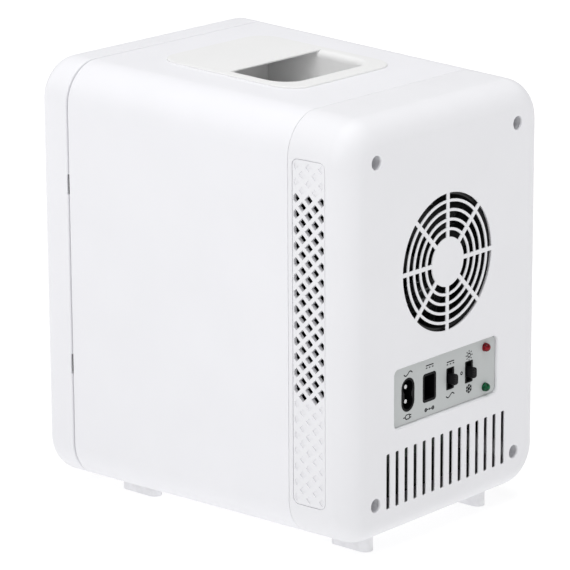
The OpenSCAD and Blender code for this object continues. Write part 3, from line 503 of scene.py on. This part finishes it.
def rounded_rim(ahead, towards, r=SEAM_ROUND, steps=3):
    """Stations over a rounded rim that faces the front (+1) or the rear (-1)."""
    stations = []
    for i in range(steps + 1):
        a = math.radians(90 * i / steps)
        stations.append((ahead - towards * r * (1 - math.sin(a)), r * (1 - math.cos(a))))
    return stations


def rings_at(stations):
    return [cabinet_ring(ahead, inset) for ahead, inset in stations]


FAN_C = middle("fan_shaft")
PANEL_C = middle("control_panel")
GRILLE_R = 40.0
GRILLE_HUB = 14.4
GRILLE_BAR = 1.7
GRILLE_SLOTS = 5
SPOKES = 8
SPOKE_W = 2.6
SLOTS = 14
SLOT_PITCH = 8.06
SLOT_W = 3.1
SLOT_H = 32.4
SLOT_Z = FLOOR_Z + 34.9
SLOT_CORNER = 0.8
VENT_THICK = 0.8  # thickness of the cover round the fan grille and the slots
SCREW_LOW, SCREW_HIGH = corners("rear_screws")
SCREW_HEAD_R = 3.2
WELL_X = SCREW_HIGH.x - SCREW_HEAD_R
WELL_ZS = (SCREW_LOW.z + SCREW_HEAD_R, SCREW_HIGH.z - SCREW_HEAD_R)
WELL_PLACES = [(x, z) for x in (-WELL_X, WELL_X) for z in WELL_ZS]
WELL_R = 4.0
WELL_WALL = 1.7
WELL_FLOOR = 2.4
WELL_END = 42.0
WELL_DEEP = REAR_Y - SCREW_HIGH.y
SCREW_HOLE_R = 1.8
PANEL_WINDOW_W = 93.4
PANEL_WINDOW_H = 34.4
PANEL_WINDOW_CORNER = 3.2
STRIP_C = middle("right_vent_grille")
STRIP_W = 23.3
STRIP_H = 199.4
STRIP_WINDOW_CORNER = 4.0
# How far the cover's edge is rounded at each kind of opening
GRILLE_ROUND = 0.45
SLOT_ROUND = 0.3
WELL_ROUND = 0.6
PANEL_WINDOW_ROUND = 1.4
STRIP_WINDOW_ROUND = 0.22


def sector_outline(inner, outer, start, grow):
    """Outline between two rings and two parallel-sided spokes, grown by an amount."""
    half = SPOKE_W / 2 - grow
    r0, r1 = inner - grow, outer + grow
    step = 360 / SPOKES
    out_gap = math.degrees(math.asin(half / r1))
    in_gap = math.degrees(math.asin(half / r0))
    steps = 10
    points = arc(0, FAN_C.z, r1, start + out_gap, start + step - out_gap, steps)
    return points + arc(0, FAN_C.z, r0, start + step - in_gap, start + in_gap, steps)


def side_place(side):
    """Puts a flat outline on a flaring side, at a depth below its surface."""
    across = Vector((math.cos(FLARE), math.sin(FLARE), 0))
    along = Vector((-math.sin(FLARE), math.cos(FLARE), 0))
    origin = Vector((half_width(REAR_Y - STRIP_C.y), STRIP_C.y, STRIP_C.z))

    def place(points, depth):
        placed = [origin + along * a + Vector((0, 0, b)) - across * depth for a, b in points]
        return [Vector((side * p.x, p.y, p.z)) for p in placed]

    return place


def through_skin(bm, outline_at, rounding, place=in_face):
    add_rings(bm, hole_rings(outline_at, 0.0, SKIN + 2, rounding, place=place))


def grown_outline(cx, cy, w, h, r, steps=6):
    """A rounded rectangle as a function of how far it is grown."""
    return lambda grow: rounded_outline(cx, cy, w + 2 * grow, h + 2 * grow, r + grow, steps)


def thinning_pockets():
    """Pockets in the cover's inner face, which thin it round the fan grille and the slots."""
    pockets = bmesh.new()
    fan_field = circle_outline(0, FAN_C.z, GRILLE_R + 1, 64)
    slot_field = rounded_outline(0, SLOT_Z, SLOTS * SLOT_PITCH + 2, SLOT_H + 4, 3)
    for outline in (fan_field, slot_field):
        add_rings(pockets, [in_face(outline, VENT_THICK), in_face(outline, SKIN + 1)])
    return pockets


def add_grille_holes(holes):
    pitch = (GRILLE_R - GRILLE_HUB + GRILLE_BAR) / GRILLE_SLOTS
    for i in range(GRILLE_SLOTS):
        inner_r = GRILLE_HUB + i * pitch
        outer_r = inner_r + pitch - GRILLE_BAR
        for k in range(SPOKES):
            start = 360 / SPOKES * k
            through_skin(holes, lambda g: sector_outline(inner_r, outer_r, start, g), GRILLE_ROUND)


def cover_holes():
    """Cutters of every opening in the cover: grille, slots, wells, panel window and side windows."""
    holes = bmesh.new()
    add_grille_holes(holes)
    for i in range(SLOTS):
        x = (i - (SLOTS - 1) / 2) * SLOT_PITCH
        through_skin(holes, grown_outline(x, SLOT_Z, SLOT_W, SLOT_H, SLOT_CORNER), SLOT_ROUND)
    for x, z in WELL_PLACES:
        through_skin(holes, lambda g: circle_outline(x, z, WELL_R + g, 40), WELL_ROUND)
    panel_window = grown_outline(0, PANEL_C.z, PANEL_WINDOW_W, PANEL_WINDOW_H, PANEL_WINDOW_CORNER)
    through_skin(holes, panel_window, PANEL_WINDOW_ROUND)
    strip_window = grown_outline(0, 0, STRIP_W, STRIP_H, STRIP_WINDOW_CORNER)
    for side in (-1, 1):
        through_skin(holes, strip_window, STRIP_WINDOW_ROUND, place=side_place(side))
    return holes


def well_tubes():
    """Tubes inside the cover, from each screw well to its end, with a floor for the screw's head."""
    tubes = bmesh.new()
    mouth, seat, outer_r = SKIN - WELL_ROUND, WELL_DEEP + WELL_FLOOR, WELL_R + WELL_WALL
    profile = ((WELL_R, mouth), (WELL_R, seat), (SCREW_HOLE_R, seat),
               (SCREW_HOLE_R, WELL_END), (outer_r, WELL_END), (outer_r, mouth))
    for x, z in WELL_PLACES:
        add_rings(tubes, [in_face(circle_outline(x, z, r, 40), ahead) for r, ahead in profile], True)
    return tubes


def rear_cover():
    outer = rings_at(rear_stations(0) + rounded_rim(COVER_FRONT, 1))
    inner = rings_at([(COVER_FRONT, SKIN)] + rear_stations(SKIN)[::-1])
    shell = to_object(solid_from(outer + inner), "rear_cover_shell")
    carve(shell, to_object(thinning_pockets(), "cutter"))
    carve(shell, to_object(cover_holes(), "cutter"))
    join(shell, to_object(well_tubes(), "tubes"))
    settle_normals(shell)
    finish_piece(shell, "cabinet", cover_white, "rear_cover", slot="housing")


def join(obj, other):
    """Adds the other object's mesh to the first one's and removes the other."""
    bm = bmesh.new()
    bm.from_mesh(obj.data)
    bm.from_mesh(other.data)
    bm.to_mesh(obj.data)
    bm.free()
    bpy.data.objects.remove(other)
    smooth(obj)


GRIP_C = middle("handle_plate")
GRIP_L = 105.4
GRIP_W = 92.4
GRIP_RISE = 1.2
GRIP_SKIRT = 3.0
GRIP_CORNER = 15.0
GRIP_EDGE_ROUND = 0.9
SKIRT_W, SKIRT_L, SKIRT_CORNER = 85.0, 98.0, 11.5
SKIRT_GAP = 0.5  # between the plate's skirt and the hole in the housing
HAND_HALF = 36.5
HAND_REAR = 38.9
HAND_CORNER = 13.0
MOUTH_FRONT = -0.5
MOUTH_ROLL = GRIP_RISE + GRIP_SKIRT
COVER_EDGE = 0.7
COVER_SLOPE = math.radians(18)


def on_top():
    """Frame of the sloping top at the middle of the grip plate."""
    origin = Vector((0, GRIP_C.y, top_height(REAR_Y - GRIP_C.y)))
    return Matrix.Translation(origin) @ Matrix.Rotation(-RISE, 4, "X")


def flat(points, height):
    """A flat outline at a height, in the frame of the top. Depths count downwards."""
    return [Vector((x, y, -height)) for x, y in points]


def hand_outline(grow):
    """Outline of the hand space, grown on every side but its front."""
    w, r = HAND_HALF + grow, HAND_CORNER + grow
    rear = HAND_REAR + grow
    points = arc(w - r, rear - r, r, 0, 90, 12) + arc(r - w, rear - r, r, 90, 180, 12)
    return points + [(-w, MOUTH_FRONT), (w, MOUTH_FRONT)]


def main_housing():
    outer = rings_at(rounded_rim(HOUSING_REAR, -1)[::-1] + rounded_rim(FRAME_FRONT, 1, 0.6))
    inner = rings_at([(FRAME_FRONT, SKIN), (HOUSING_REAR, SKIN)])
    shell = to_object(solid_from(outer + inner, closed=True), "housing_shell")
    outline = grown_outline(0, 0, SKIRT_W, SKIRT_L, SKIRT_CORNER)(SKIRT_GAP)
    hole = solid_from([flat(outline, height) for height in (-4, 6)])
    carve(shell, to_object(hole, "cutter", on_top()))
    settle_normals(shell)
    finish_piece(shell, "cabinet", body_white, "main_housing", slot="housing")


def cover_relief():
    """Rings of the slope cut under the plate's front half, which thins it towards the mouth."""
    edge = GRIP_RISE - COVER_EDGE
    rear = MOUTH_FRONT + 1
    drop = edge + GRIP_SKIRT + 1
    front = MOUTH_FRONT - drop / math.tan(COVER_SLOPE)
    profile = [(rear, edge), (MOUTH_FRONT, edge), (front, edge - drop), (rear, edge - drop)]
    return [[Vector((x, y, z)) for y, z in profile] for x in (-HAND_HALF, HAND_HALF)]


def grip_plate():
    skirt = rounded_outline(0, 0, SKIRT_W, SKIRT_L, SKIRT_CORNER, 10)
    rings = [flat(skirt, GRIP_SKIRT), flat(skirt, 0)]
    outline = grown_outline(0, 0, GRIP_W, GRIP_L, GRIP_CORNER, 10)
    rings += raised_rings(outline, 0.0, GRIP_RISE, GRIP_EDGE_ROUND, place=flat)
    plate = to_object(solid_from(rings), "grip_plate", on_top())
    mouth = hole_rings(hand_outline, -GRIP_RISE, MOUTH_ROLL + 1, MOUTH_ROLL, steps=8, place=flat)
    carve(plate, to_object(solid_from(mouth), "cutter", on_top()))
    carve(plate, to_object(solid_from(cover_relief()), "cutter", on_top()))
    settle_normals(plate)
    finish_piece(plate, "cabinet", grip_white, "handle_plate", slot="grip")


# ---- vent strips

DIAMOND = 4.0  # side of a diamond
DIAMOND_ROUND = 0.26
BLIND_DEEP = 0.55  # depth of the diamonds that don't go through
BLIND_SHRINK = 0.45  # how much smaller those are, on each side
PITCH = 9.1
FIELD_HALF = 10.6  # the diamonds stop this far from the strip's middle line
TOP_MARGIN = 4.1  # from the strip's top to the middle of its first row
STRIP_GAP = 0.3  # gap between the strip and the cover, down to the ledge that closes it
STRIP_CORNER = 3.6
STRIP_ROUND = 0.25
STRIP_SET_BACK = 0.15
STRIP_THICK = 2.45
STRIP_LEDGE = 0.8
LEDGE_GAP = 0.02
FIRST_OPEN = 2
LAST_OPEN = 14.5
LAST_ROW = 21


def diamond_outline(cx, cy, grow):
    """A diamond, with the tip that would pass the field's edge cut off."""
    half = DIAMOND / math.sqrt(2) + grow * math.sqrt(2)
    limit = FIELD_HALF + grow
    points = []
    for dx, dy in ((1, 0), (0, 1), (-1, 0), (0, -1)):
        tip = cx + dx * half
        if dx and abs(tip) > limit:
            reach = half - (limit - abs(cx))
            points.append((math.copysign(limit, cx), cy - dx * reach))
            points.append((math.copysign(limit, cx), cy + dx * reach))
        else:
            points.append((tip, cy + dy * half))
    return points


def vent_strip(side, node):
    """A strip of diamond vents. Its back is wider than its face and closes the gap round it."""
    place = side_place(side)
    outline = grown_outline(0, 0, STRIP_W - 2 * STRIP_GAP, STRIP_H - 2 * STRIP_GAP, STRIP_CORNER)
    wide = outline(STRIP_GAP - LEDGE_GAP)
    back = [place(wide, depth) for depth in (STRIP_SET_BACK + STRIP_THICK, STRIP_LEDGE)]
    front = raised_rings(outline, STRIP_LEDGE, STRIP_LEDGE - STRIP_SET_BACK, STRIP_ROUND, place=place)
    strip = to_object(solid_from(back + front), node + "_piece")
    holes = bmesh.new()
    top_row = STRIP_H / 2 - TOP_MARGIN
    for half_row in range(2 * LAST_ROW + 1):
        row = half_row / 2
        is_open = FIRST_OPEN <= row <= LAST_OPEN
        for column in ((-1, 0, 1) if half_row % 2 == 0 else (-0.5, 0.5)):
            shrink = 0 if is_open else BLIND_SHRINK
            deep = STRIP_THICK + 1 if is_open else BLIND_DEEP
            outline = lambda g: diamond_outline(column * PITCH, top_row - row * PITCH, g - shrink)
            rings = hole_rings(outline, STRIP_SET_BACK, deep, DIAMOND_ROUND, out=2, steps=3, place=place)
            add_rings(holes, rings)
    carve(strip, to_object(holes, "cutter"))
    settle_normals(strip)
    finish_piece(strip, "cabinet", cover_white, node, slot="housing")


# ---- door

HINGE_X = middle("hinge_pins").x
LUG_R = 2.2
LUG_H = 11.2
NOTCH_GAP = 0.4
NOTCH_IN = HINGE_X - 10.5
NOTCH_OUT = HINGE_X + LUG_R + NOTCH_GAP
NOTCH_FRONT = DOOR_REAR + 7.6
SLIT = 0.5
KNUCKLE_WALL = 1.8
KNUCKLE_H = 25.0
PULL_R = 7.0
PULL_H = 56.0
PULL_Z = 137.0
PULL_X = -(half_width(DOOR_REAR) + 2.5)
PULL_BLOCK_X = (-92.6, -84.6)  # the block behind the finger pull, which closes it off inside
PULL_BLOCK_AHEAD = (DOOR_REAR + 10.2, DOOR_REAR + 1.7)
PULL_BLOCK_HALF = PULL_H / 2 + 3
HINGE_ZS = [middle(n).z for n in ("lower_hinge_bracket", "upper_hinge_bracket")]


def door_cutters():
    """The hinge hooks' hollows, each with a slit out through the side, and the finger pull."""
    bm = bmesh.new()
    front, slit, rear = y_at(NOTCH_FRONT), y_at(DOOR_REAR + SLIT), y_at(DOOR_REAR - 2)
    out = NOTCH_OUT + 8
    plan = [(NOTCH_IN, front), (NOTCH_OUT, front), (NOTCH_OUT, slit),
            (out, slit), (out, rear), (NOTCH_IN, rear)]
    half = LUG_H / 2 + NOTCH_GAP
    for z in HINGE_ZS:
        add_rings(bm, [[Vector((x, y, level)) for x, y in plan] for level in (z - half, z + half)])
    pull = [[Vector((x, y, z)) for x, y in circle_outline(PULL_X, y_at(DOOR_REAR), PULL_R, 48)]
            for z in (PULL_Z - PULL_H / 2, PULL_Z + PULL_H / 2)]
    add_rings(bm, pull)
    return bm


def door_blocks():
    """Solid blocks inside the door's skin, round the hinge pins and behind the finger pull."""
    blocks = bmesh.new()
    edge = half_width(DOOR_REAR) - 1
    for z in HINGE_ZS:
        low = (NOTCH_IN - KNUCKLE_WALL, y_at(NOTCH_FRONT + KNUCKLE_WALL), z - KNUCKLE_H / 2)
        high = (edge, y_at(DOOR_REAR + KNUCKLE_WALL), z + KNUCKLE_H / 2)
        add_box(blocks, low, high)
    low = (PULL_BLOCK_X[0], y_at(PULL_BLOCK_AHEAD[0]), PULL_Z - PULL_BLOCK_HALF)
    high = (PULL_BLOCK_X[1], y_at(PULL_BLOCK_AHEAD[1]), PULL_Z + PULL_BLOCK_HALF)
    add_box(blocks, low, high)
    return blocks


def door_shell():
    rim = [(DOOR_REAR + 1.2, 0), (DOOR_REAR + 0.7, 0.1), (DOOR_REAR + 0.3, 0.45), (DOOR_REAR, 1.2)]
    outer = rings_at(front_stations(0)[::-1] + rim)
    inner = rings_at([(DOOR_REAR, DOOR_SKIN)] + front_stations(DOOR_SKIN))
    shell = to_object(solid_from(outer + inner), "door_shell_piece")
    carve(shell, to_object(door_cutters(), "cutter"))
    inside = to_object(door_blocks(), "blocks")
    carve(inside, to_object(door_cutters(), "cutter"))
    join(shell, inside)
    settle_normals(shell)
    finish_piece(shell, "door", door_white, "door_shell", slot="door")


def gasket():
    """The moulded ring: a lip along each side, a rib between them, and a groove either side of the rib."""
    low, high = corners("door_gasket")
    w, h, mid = high.x - low.x, high.z - low.z, (low.z + high.z) / 2
    wide, tall, outer_corner = 6.0, high.y - low.y, 15
    # Places across the ring's width, with heights as shares of its full height
    profile = ((0, 0), (0, 0.7), (0.6, 1), (1.5, 0.85), (2.2, 0.45), (3, 0.95),
               (3.8, 0.45), (4.5, 0.85), (5.4, 1), (wide, 0.7), (wide, 0))
    rings = []
    for grow, rise in profile:
        inset = wide - grow
        outline = rounded_outline(0, mid, w - 2 * inset, h - 2 * inset, outer_corner - inset, 10)
        rings.append(in_face(outline, DOOR_REAR - rise * tall))
    ring = to_object(solid_from(rings, closed=True), "door_gasket_ring")
    finish_piece(ring, "door", gasket_rubber, "door_gasket", slot="gasket")


# ---- fan

def lathe(profile, cx, cz, steps=64):
    """Rings about a line that runs forward, through radius and ahead pairs."""
    return [in_face(circle_outline(cx, cz, r, steps), ahead) for r, ahead in profile]


HUB_R = 14.0
HUB_WALL = 1.7
BLADES = 7
BLADE_TIP_R = 37.2
BLADE_MID = 7.1  # from the hub's rear face to the blades' middle
BLADE_STEPS = 8


def fan_rotor():
    low, high = corners("fan_rotor")
    cup_rear = REAR_Y - high.y
    cup_front = REAR_Y - low.y
    r = HUB_R
    outer = [(0.8, cup_rear), (4, cup_rear), (r - 1.6, cup_rear), (r - 0.7, cup_rear + 0.2),
             (r - 0.2, cup_rear + 0.7), (r, cup_rear + 1.6), (r, cup_front)]
    inner = [(r - HUB_WALL, cup_front), (r - HUB_WALL, cup_rear + 1.6), (0.8, cup_rear + 1.6)]
    bm = solid_from(lathe(outer + inner, 0, FAN_C.z))
    root_r = r - 0.3
    for k in range(BLADES):
        rings = []
        for i in range(BLADE_STEPS + 1):
            t = i / BLADE_STEPS
            radius = root_r + (BLADE_TIP_R - root_r) * t
            pitch = math.radians(50 - 14 * t)
            chord = 14.5 + 3.5 * t
            sweep = 0.28 * t * t
            angle = 2 * math.pi * k / BLADES + sweep
            rings.append(blade_section(radius, chord, pitch, angle, cup_rear + BLADE_MID))
        add_rings(bm, rings)
    rotor = to_object(bm, "fan_rotor_piece")
    finish_piece(rotor, "fan", fan_black, "fan_rotor", slot="fan")


def blade_section(radius, chord, pitch, angle, mid):
    """Cambered section of a blade, wrapped round the shaft at a radius."""
    points = []
    steps = 8
    for face in (1, -1):
        for i in range(steps + 1):
            u = -0.5 + (i / steps if face > 0 else 1 - i / steps)
            camber = 0.9 * (1 - 4 * u * u)
            half = 0.55 * math.sqrt(max(0.05, 1 - (2 * u) ** 2))
            along, off = u * chord, camber + face * half
            ahead = mid - along * math.cos(pitch) * 0.78 + off * math.sin(pitch)
            turn = angle + (along * math.sin(pitch) + off * math.cos(pitch)) / radius
            points.append(Vector((radius * math.cos(turn), y_at(ahead), FAN_C.z + radius * math.sin(turn))))
    return points


# ---- panel

KNOB_CORNER = 1.6
KNOB_ROUND = 0.9
GROOVE_PITCH = 1.5
GROOVE_HALF = 0.3
GROOVE_DEEP = 0.35


def knob(node, body):
    """A slide switch's knob, with three grooves across it for a fingertip."""
    low, high = corners(node)
    c = (low + high) / 2
    w, h = high.x - low.x, high.z - low.z
    tip, foot = REAR_Y - high.y, REAR_Y - low.y
    rings = raised_rings(grown_outline(c.x, c.z, w, h, KNOB_CORNER), foot, foot - tip, KNOB_ROUND, steps=6)
    piece = to_object(solid_from(rings), node + "_piece")
    grooves = bmesh.new()
    for k in (-1, 0, 1):
        z = c.z + k * GROOVE_PITCH
        bottom = (c.x - w, y_at(tip + GROOVE_DEEP), z - GROOVE_HALF)
        add_box(grooves, bottom, (c.x + w, y_at(tip - 1), z + GROOVE_HALF))
    carve(piece, to_object(grooves, "cutter"))
    settle_normals(piece)
    finish_piece(piece, body, knob_black, node, slot="knob")


LAMP_R = 2.5
LAMP_TIP_R = 0.06  # the dome ends in a disc too small to see, so that its mesh closes
LAMP_RIM = 0.5
DOME_STEPS = 10


def lamp(node, material, slot):
    """A lamp with a round dome to the rear, a collar round it, and a plain end ahead."""
    low, high = corners(node)
    c = (low + high) / 2
    tip, front = REAR_Y - high.y, REAR_Y - low.y
    dome = [(LAMP_TIP_R, tip)]
    for i in range(1, DOME_STEPS + 1):
        a = math.radians(90 * i / DOME_STEPS)
        dome.append((LAMP_R * math.sin(a), tip + LAMP_R * (1 - math.cos(a))))
    rim_r = LAMP_R + LAMP_RIM
    collar = [(LAMP_R, front - 3.9), (rim_r, front - 3.8), (rim_r, front - 2.6), (LAMP_R, front - 2.5)]
    profile = dome + collar + [(LAMP_R, front)]
    piece = to_object(solid_from(lathe(profile, c.x, c.z, 40)), node + "_piece")
    finish_piece(piece, "cabinet", material, node, slot=slot)


def strokes(paths, width=0.7):
    """Printed lines: each path is a list of points across and up the panel, in millimetres."""
    curve = bpy.data.curves.new("strokes", "CURVE")
    curve.dimensions = "3D"
    curve.bevel_depth = width / 2 * MM
    curve.bevel_resolution = 2
    curve.use_fill_caps = True
    for path in paths:
        line = curve.splines.new("POLY")
        line.points.add(len(path) - 1)
        for point, (x, z) in zip(line.points, path):
            point.co = (x * MM, 0, z * MM, 1)
    obj = bpy.data.objects.new("strokes", curve)
    scene.collection.objects.link(obj)
    depsgraph = bpy.context.evaluated_depsgraph_get()
    mesh = bpy.data.meshes.new_from_object(obj.evaluated_get(depsgraph))
    bpy.data.objects.remove(obj)
    return mesh


def wave_mark(cx, cz, w=7.6, h=2.2, steps=16):
    """Alternating current: one full wave."""
    shares = [i / steps for i in range(steps + 1)]
    return [[(cx - w / 2 + w * t, cz + h / 2 * math.sin(2 * math.pi * t)) for t in shares]]


def direct_mark(cx, cz, w=6.8):
    """Direct current: a line over three dashes."""
    paths = [[(cx - w / 2, cz + 0.7), (cx + w / 2, cz + 0.7)]]
    dash = w / 5
    for k in range(3):
        start = cx - w / 2 + k * 2 * dash
        paths.append([(start, cz - 0.7), (start + dash, cz - 0.7)])
    return paths


def sun_mark(cx, cz, r=1.2):
    """Warming: a ring with eight rays."""
    paths = [arc(cx, cz, r, 0, 360, 16)]
    for k in range(8):
        a = math.radians(45 * k)
        paths.append([(cx + s * math.cos(a), cz + s * math.sin(a)) for s in (r + 0.9, r + 1.9)])
    return paths


def flake_mark(cx, cz, r=2.8):
    """Cooling: a snowflake of six arms, each with two barbs."""
    paths = []
    centre = Vector((cx, cz))
    for k in range(6):
        a = math.radians(60 * k + 30)
        out = Vector((math.cos(a), math.sin(a)))
        side = Vector((-out.y, out.x))
        paths.append([tuple(centre), tuple(centre + out * r)])
        for s in (-1, 1):
            paths.append([tuple(centre + out * r * 0.5), tuple(centre + out * r * 0.85 + side * s * 0.9)])
    return paths


def ring_mark(cx, cz, r=0.7):
    return [arc(cx, cz, r, 0, 360, 12)]


def pole_mark(cx, cz, reach=3.2, r=0.9, core=0.9, sign=0.4):
    """A low-voltage plug's poles: a ring with a minus, a core with its leads, and a ring with a plus."""
    left, right = cx - reach, cx + reach
    paths = ring_mark(left, cz, r) + ring_mark(right, cz, r)
    paths += [[(left + r, cz), (cx - core, cz)], [(cx + core, cz), (right - r, cz)]]
    paths += [[(x - sign, cz), (x + sign, cz)] for x in (left, right)]
    paths.append([(right, cz - sign), (right, cz + sign)])
    return paths + ring_mark(cx, cz, 0.35)


def plug_mark(cx, cz, half=1.3, pin=1.6, cable=1.9):
    """A mains plug seen from the side: a body with a round back, two pins and its cable."""
    face, back = cx - 1.4, cx + 1.0
    body = [(face, cz - half), (back, cz - half)]
    body += arc(back, cz, half, -90, 90, 8)
    body += [(face, cz + half), (face, cz - half)]
    pins = [[(face, z), (face - pin, z)] for z in (cz + 0.7, cz - 0.7)]
    return [body] + pins + [[(back + half, cz), (back + half + cable, cz)]]


PRINT_FLATNESS = 0.12  # the printed lines are tubes, flattened to this share of their width


def panel_print():
    """Generic pictograms beside each inlet and switch, and a small ring between the switches."""
    inlet, socket = middle("ac_inlet"), middle("dc_socket")
    power, mode = middle("power_switch_body"), middle("mode_switch_body")
    panel_high = corners("control_panel")[1]
    above, below, switch_gap = 12.4, 13.0, 9.4
    paths = wave_mark(inlet.x, inlet.z + above) + plug_mark(inlet.x, inlet.z - below)
    paths += direct_mark(socket.x, socket.z + above) + pole_mark(socket.x, socket.z - below)
    paths += direct_mark(power.x, power.z + switch_gap) + wave_mark(power.x, power.z - switch_gap - 0.6)
    paths += sun_mark(mode.x, mode.z + switch_gap + 0.4) + flake_mark(mode.x, mode.z - switch_gap - 0.8)
    paths += ring_mark((power.x + mode.x) / 2 - 1.7, power.z + 0.6, 0.8)
    mesh = strokes(paths)
    on_panel = Matrix.Translation((0, panel_high.y * MM, 0))
    mesh.transform(on_panel @ Matrix.Diagonal((1, PRINT_FLATNESS, 1, 1)))
    obj = bpy.data.objects.new("panel_print", mesh)
    scene.collection.objects.link(obj)
    smooth(obj)
    finish_piece(obj, "cabinet", print_ink, slot="socket")


rear_cover()
main_housing()
grip_plate()
vent_strip(1, "right_vent_grille")
vent_strip(-1, "left_vent_grille")
door_shell()
gasket()
fan_rotor()
knob("power_switch_knob", "power_knob")
knob("mode_switch_knob", "mode_knob")
lamp("red_led", red_lamp, "red_lamp")
lamp("green_led", green_lamp, "green_lamp")
panel_print()


# ---- stage, light and camera

FLOOR_HALF = 9.0  # in metres, as are all the places below
GLOW_REACH = 2.0  # how far from the fridge the floor's own light has grown to its full level
# name, place, side of the square light, power in watts
LIGHTS = (
    ("side_key", (1.8, 0.4, 1.2), 1.2, 10),
    ("top_soft", (0.1, 0.2, 2.0), 1.6, 22.8),
    ("front_fill", (0.5, -2.0, 0.8), 1.2, 4.5),
    ("rear_fill", (-1.5, 1.8, 0.2), 1.2, 5.5),
)
LIGHT_TARGET = Vector((0, 0, 0.13))
CAMERA_PLACE = (1.4894, 1.29325, 0.6812)
CAMERA_AZIMUTH, CAMERA_ELEVATION, CAMERA_ROLL = 131.15, 15.667, 0.286
CAMERA_LENS = 220.5


def stage_floor():
    """A pale floor that also shines by itself, so that it fades into the white background."""
    bm = bmesh.new()
    bmesh.ops.create_grid(bm, x_segments=24, y_segments=24, size=FLOOR_HALF)
    mesh = bpy.data.meshes.new("floor")
    bm.to_mesh(mesh)
    bm.free()
    obj = bpy.data.objects.new("floor", mesh)
    scene.collection.objects.link(obj)
    mat, tree, shader, coords = blank("pale_floor")
    tone = blend_colour(tree, noise(tree, coords, 600, 2), (0.35, 0.35, 0.35), (0.37, 0.37, 0.37))
    tree.links.new(tone, shader.inputs["Base Color"])
    shader.inputs["Roughness"].default_value = 0.9
    shader.inputs["Specular IOR Level"].default_value = 0.1
    ball = tree.nodes.new("ShaderNodeTexGradient")
    ball.gradient_type = "SPHERICAL"
    scaled = tree.nodes.new("ShaderNodeMapping")
    scaled.inputs["Scale"].default_value = [1 / GLOW_REACH] * 3
    tree.links.new(coords, scaled.inputs["Vector"])
    tree.links.new(scaled.outputs["Vector"], ball.inputs["Vector"])
    glow = tree.nodes.new("ShaderNodeValToRGB")
    glow.color_ramp.elements[0].color = (1, 1, 1, 1)
    glow.color_ramp.elements[1].color = (0.75, 0.75, 0.75, 1)
    tree.links.new(ball.outputs["Color"], glow.inputs["Fac"])
    tree.links.new(glow.outputs["Color"], shader.inputs["Emission Color"])
    shader.inputs["Emission Strength"].default_value = 0.95
    obj.data.materials.append(mat)


def area_light(name, place, side, power):
    data = bpy.data.lights.new(name, "AREA")
    data.shape = "RECTANGLE"
    data.size = side
    data.size_y = side
    data.energy = power
    obj = bpy.data.objects.new(name, data)
    obj.location = place
    obj.rotation_euler = (LIGHT_TARGET - Vector(place)).to_track_quat("-Z", "Y").to_euler()
    scene.collection.objects.link(obj)


def studio():
    world = bpy.data.worlds.new("studio")
    world.use_nodes = True
    background = world.node_tree.nodes["Background"]
    background.inputs["Color"].default_value = (1, 1, 1, 1)
    background.inputs["Strength"].default_value = 0.42
    scene.world = world
    for name, place, side, power in LIGHTS:
        area_light(name, place, side, power)
    scene.view_settings.view_transform = "Standard"
    scene.view_settings.look = "None"


def camera():
    """The camera stands behind the fridge on its hinge side, a little above it."""
    data = bpy.data.cameras.new("camera")
    data.sensor_width = 36
    data.lens = CAMERA_LENS
    data.clip_start, data.clip_end = 0.1, 40
    obj = bpy.data.objects.new("camera", data)
    scene.collection.objects.link(obj)
    obj.location = CAMERA_PLACE
    a, e = math.radians(CAMERA_AZIMUTH), math.radians(CAMERA_ELEVATION)
    back = Vector((math.sin(a) * math.cos(e), -math.cos(a) * math.cos(e), math.sin(e)))
    level = back.to_track_quat("Z", "Y")
    obj.rotation_mode = "QUATERNION"
    roll = Matrix.Rotation(math.radians(-CAMERA_ROLL), 3, "Z")
    obj.rotation_quaternion = level @ roll.to_quaternion()
    scene.camera = obj


stage_floor()
studio()
camera()
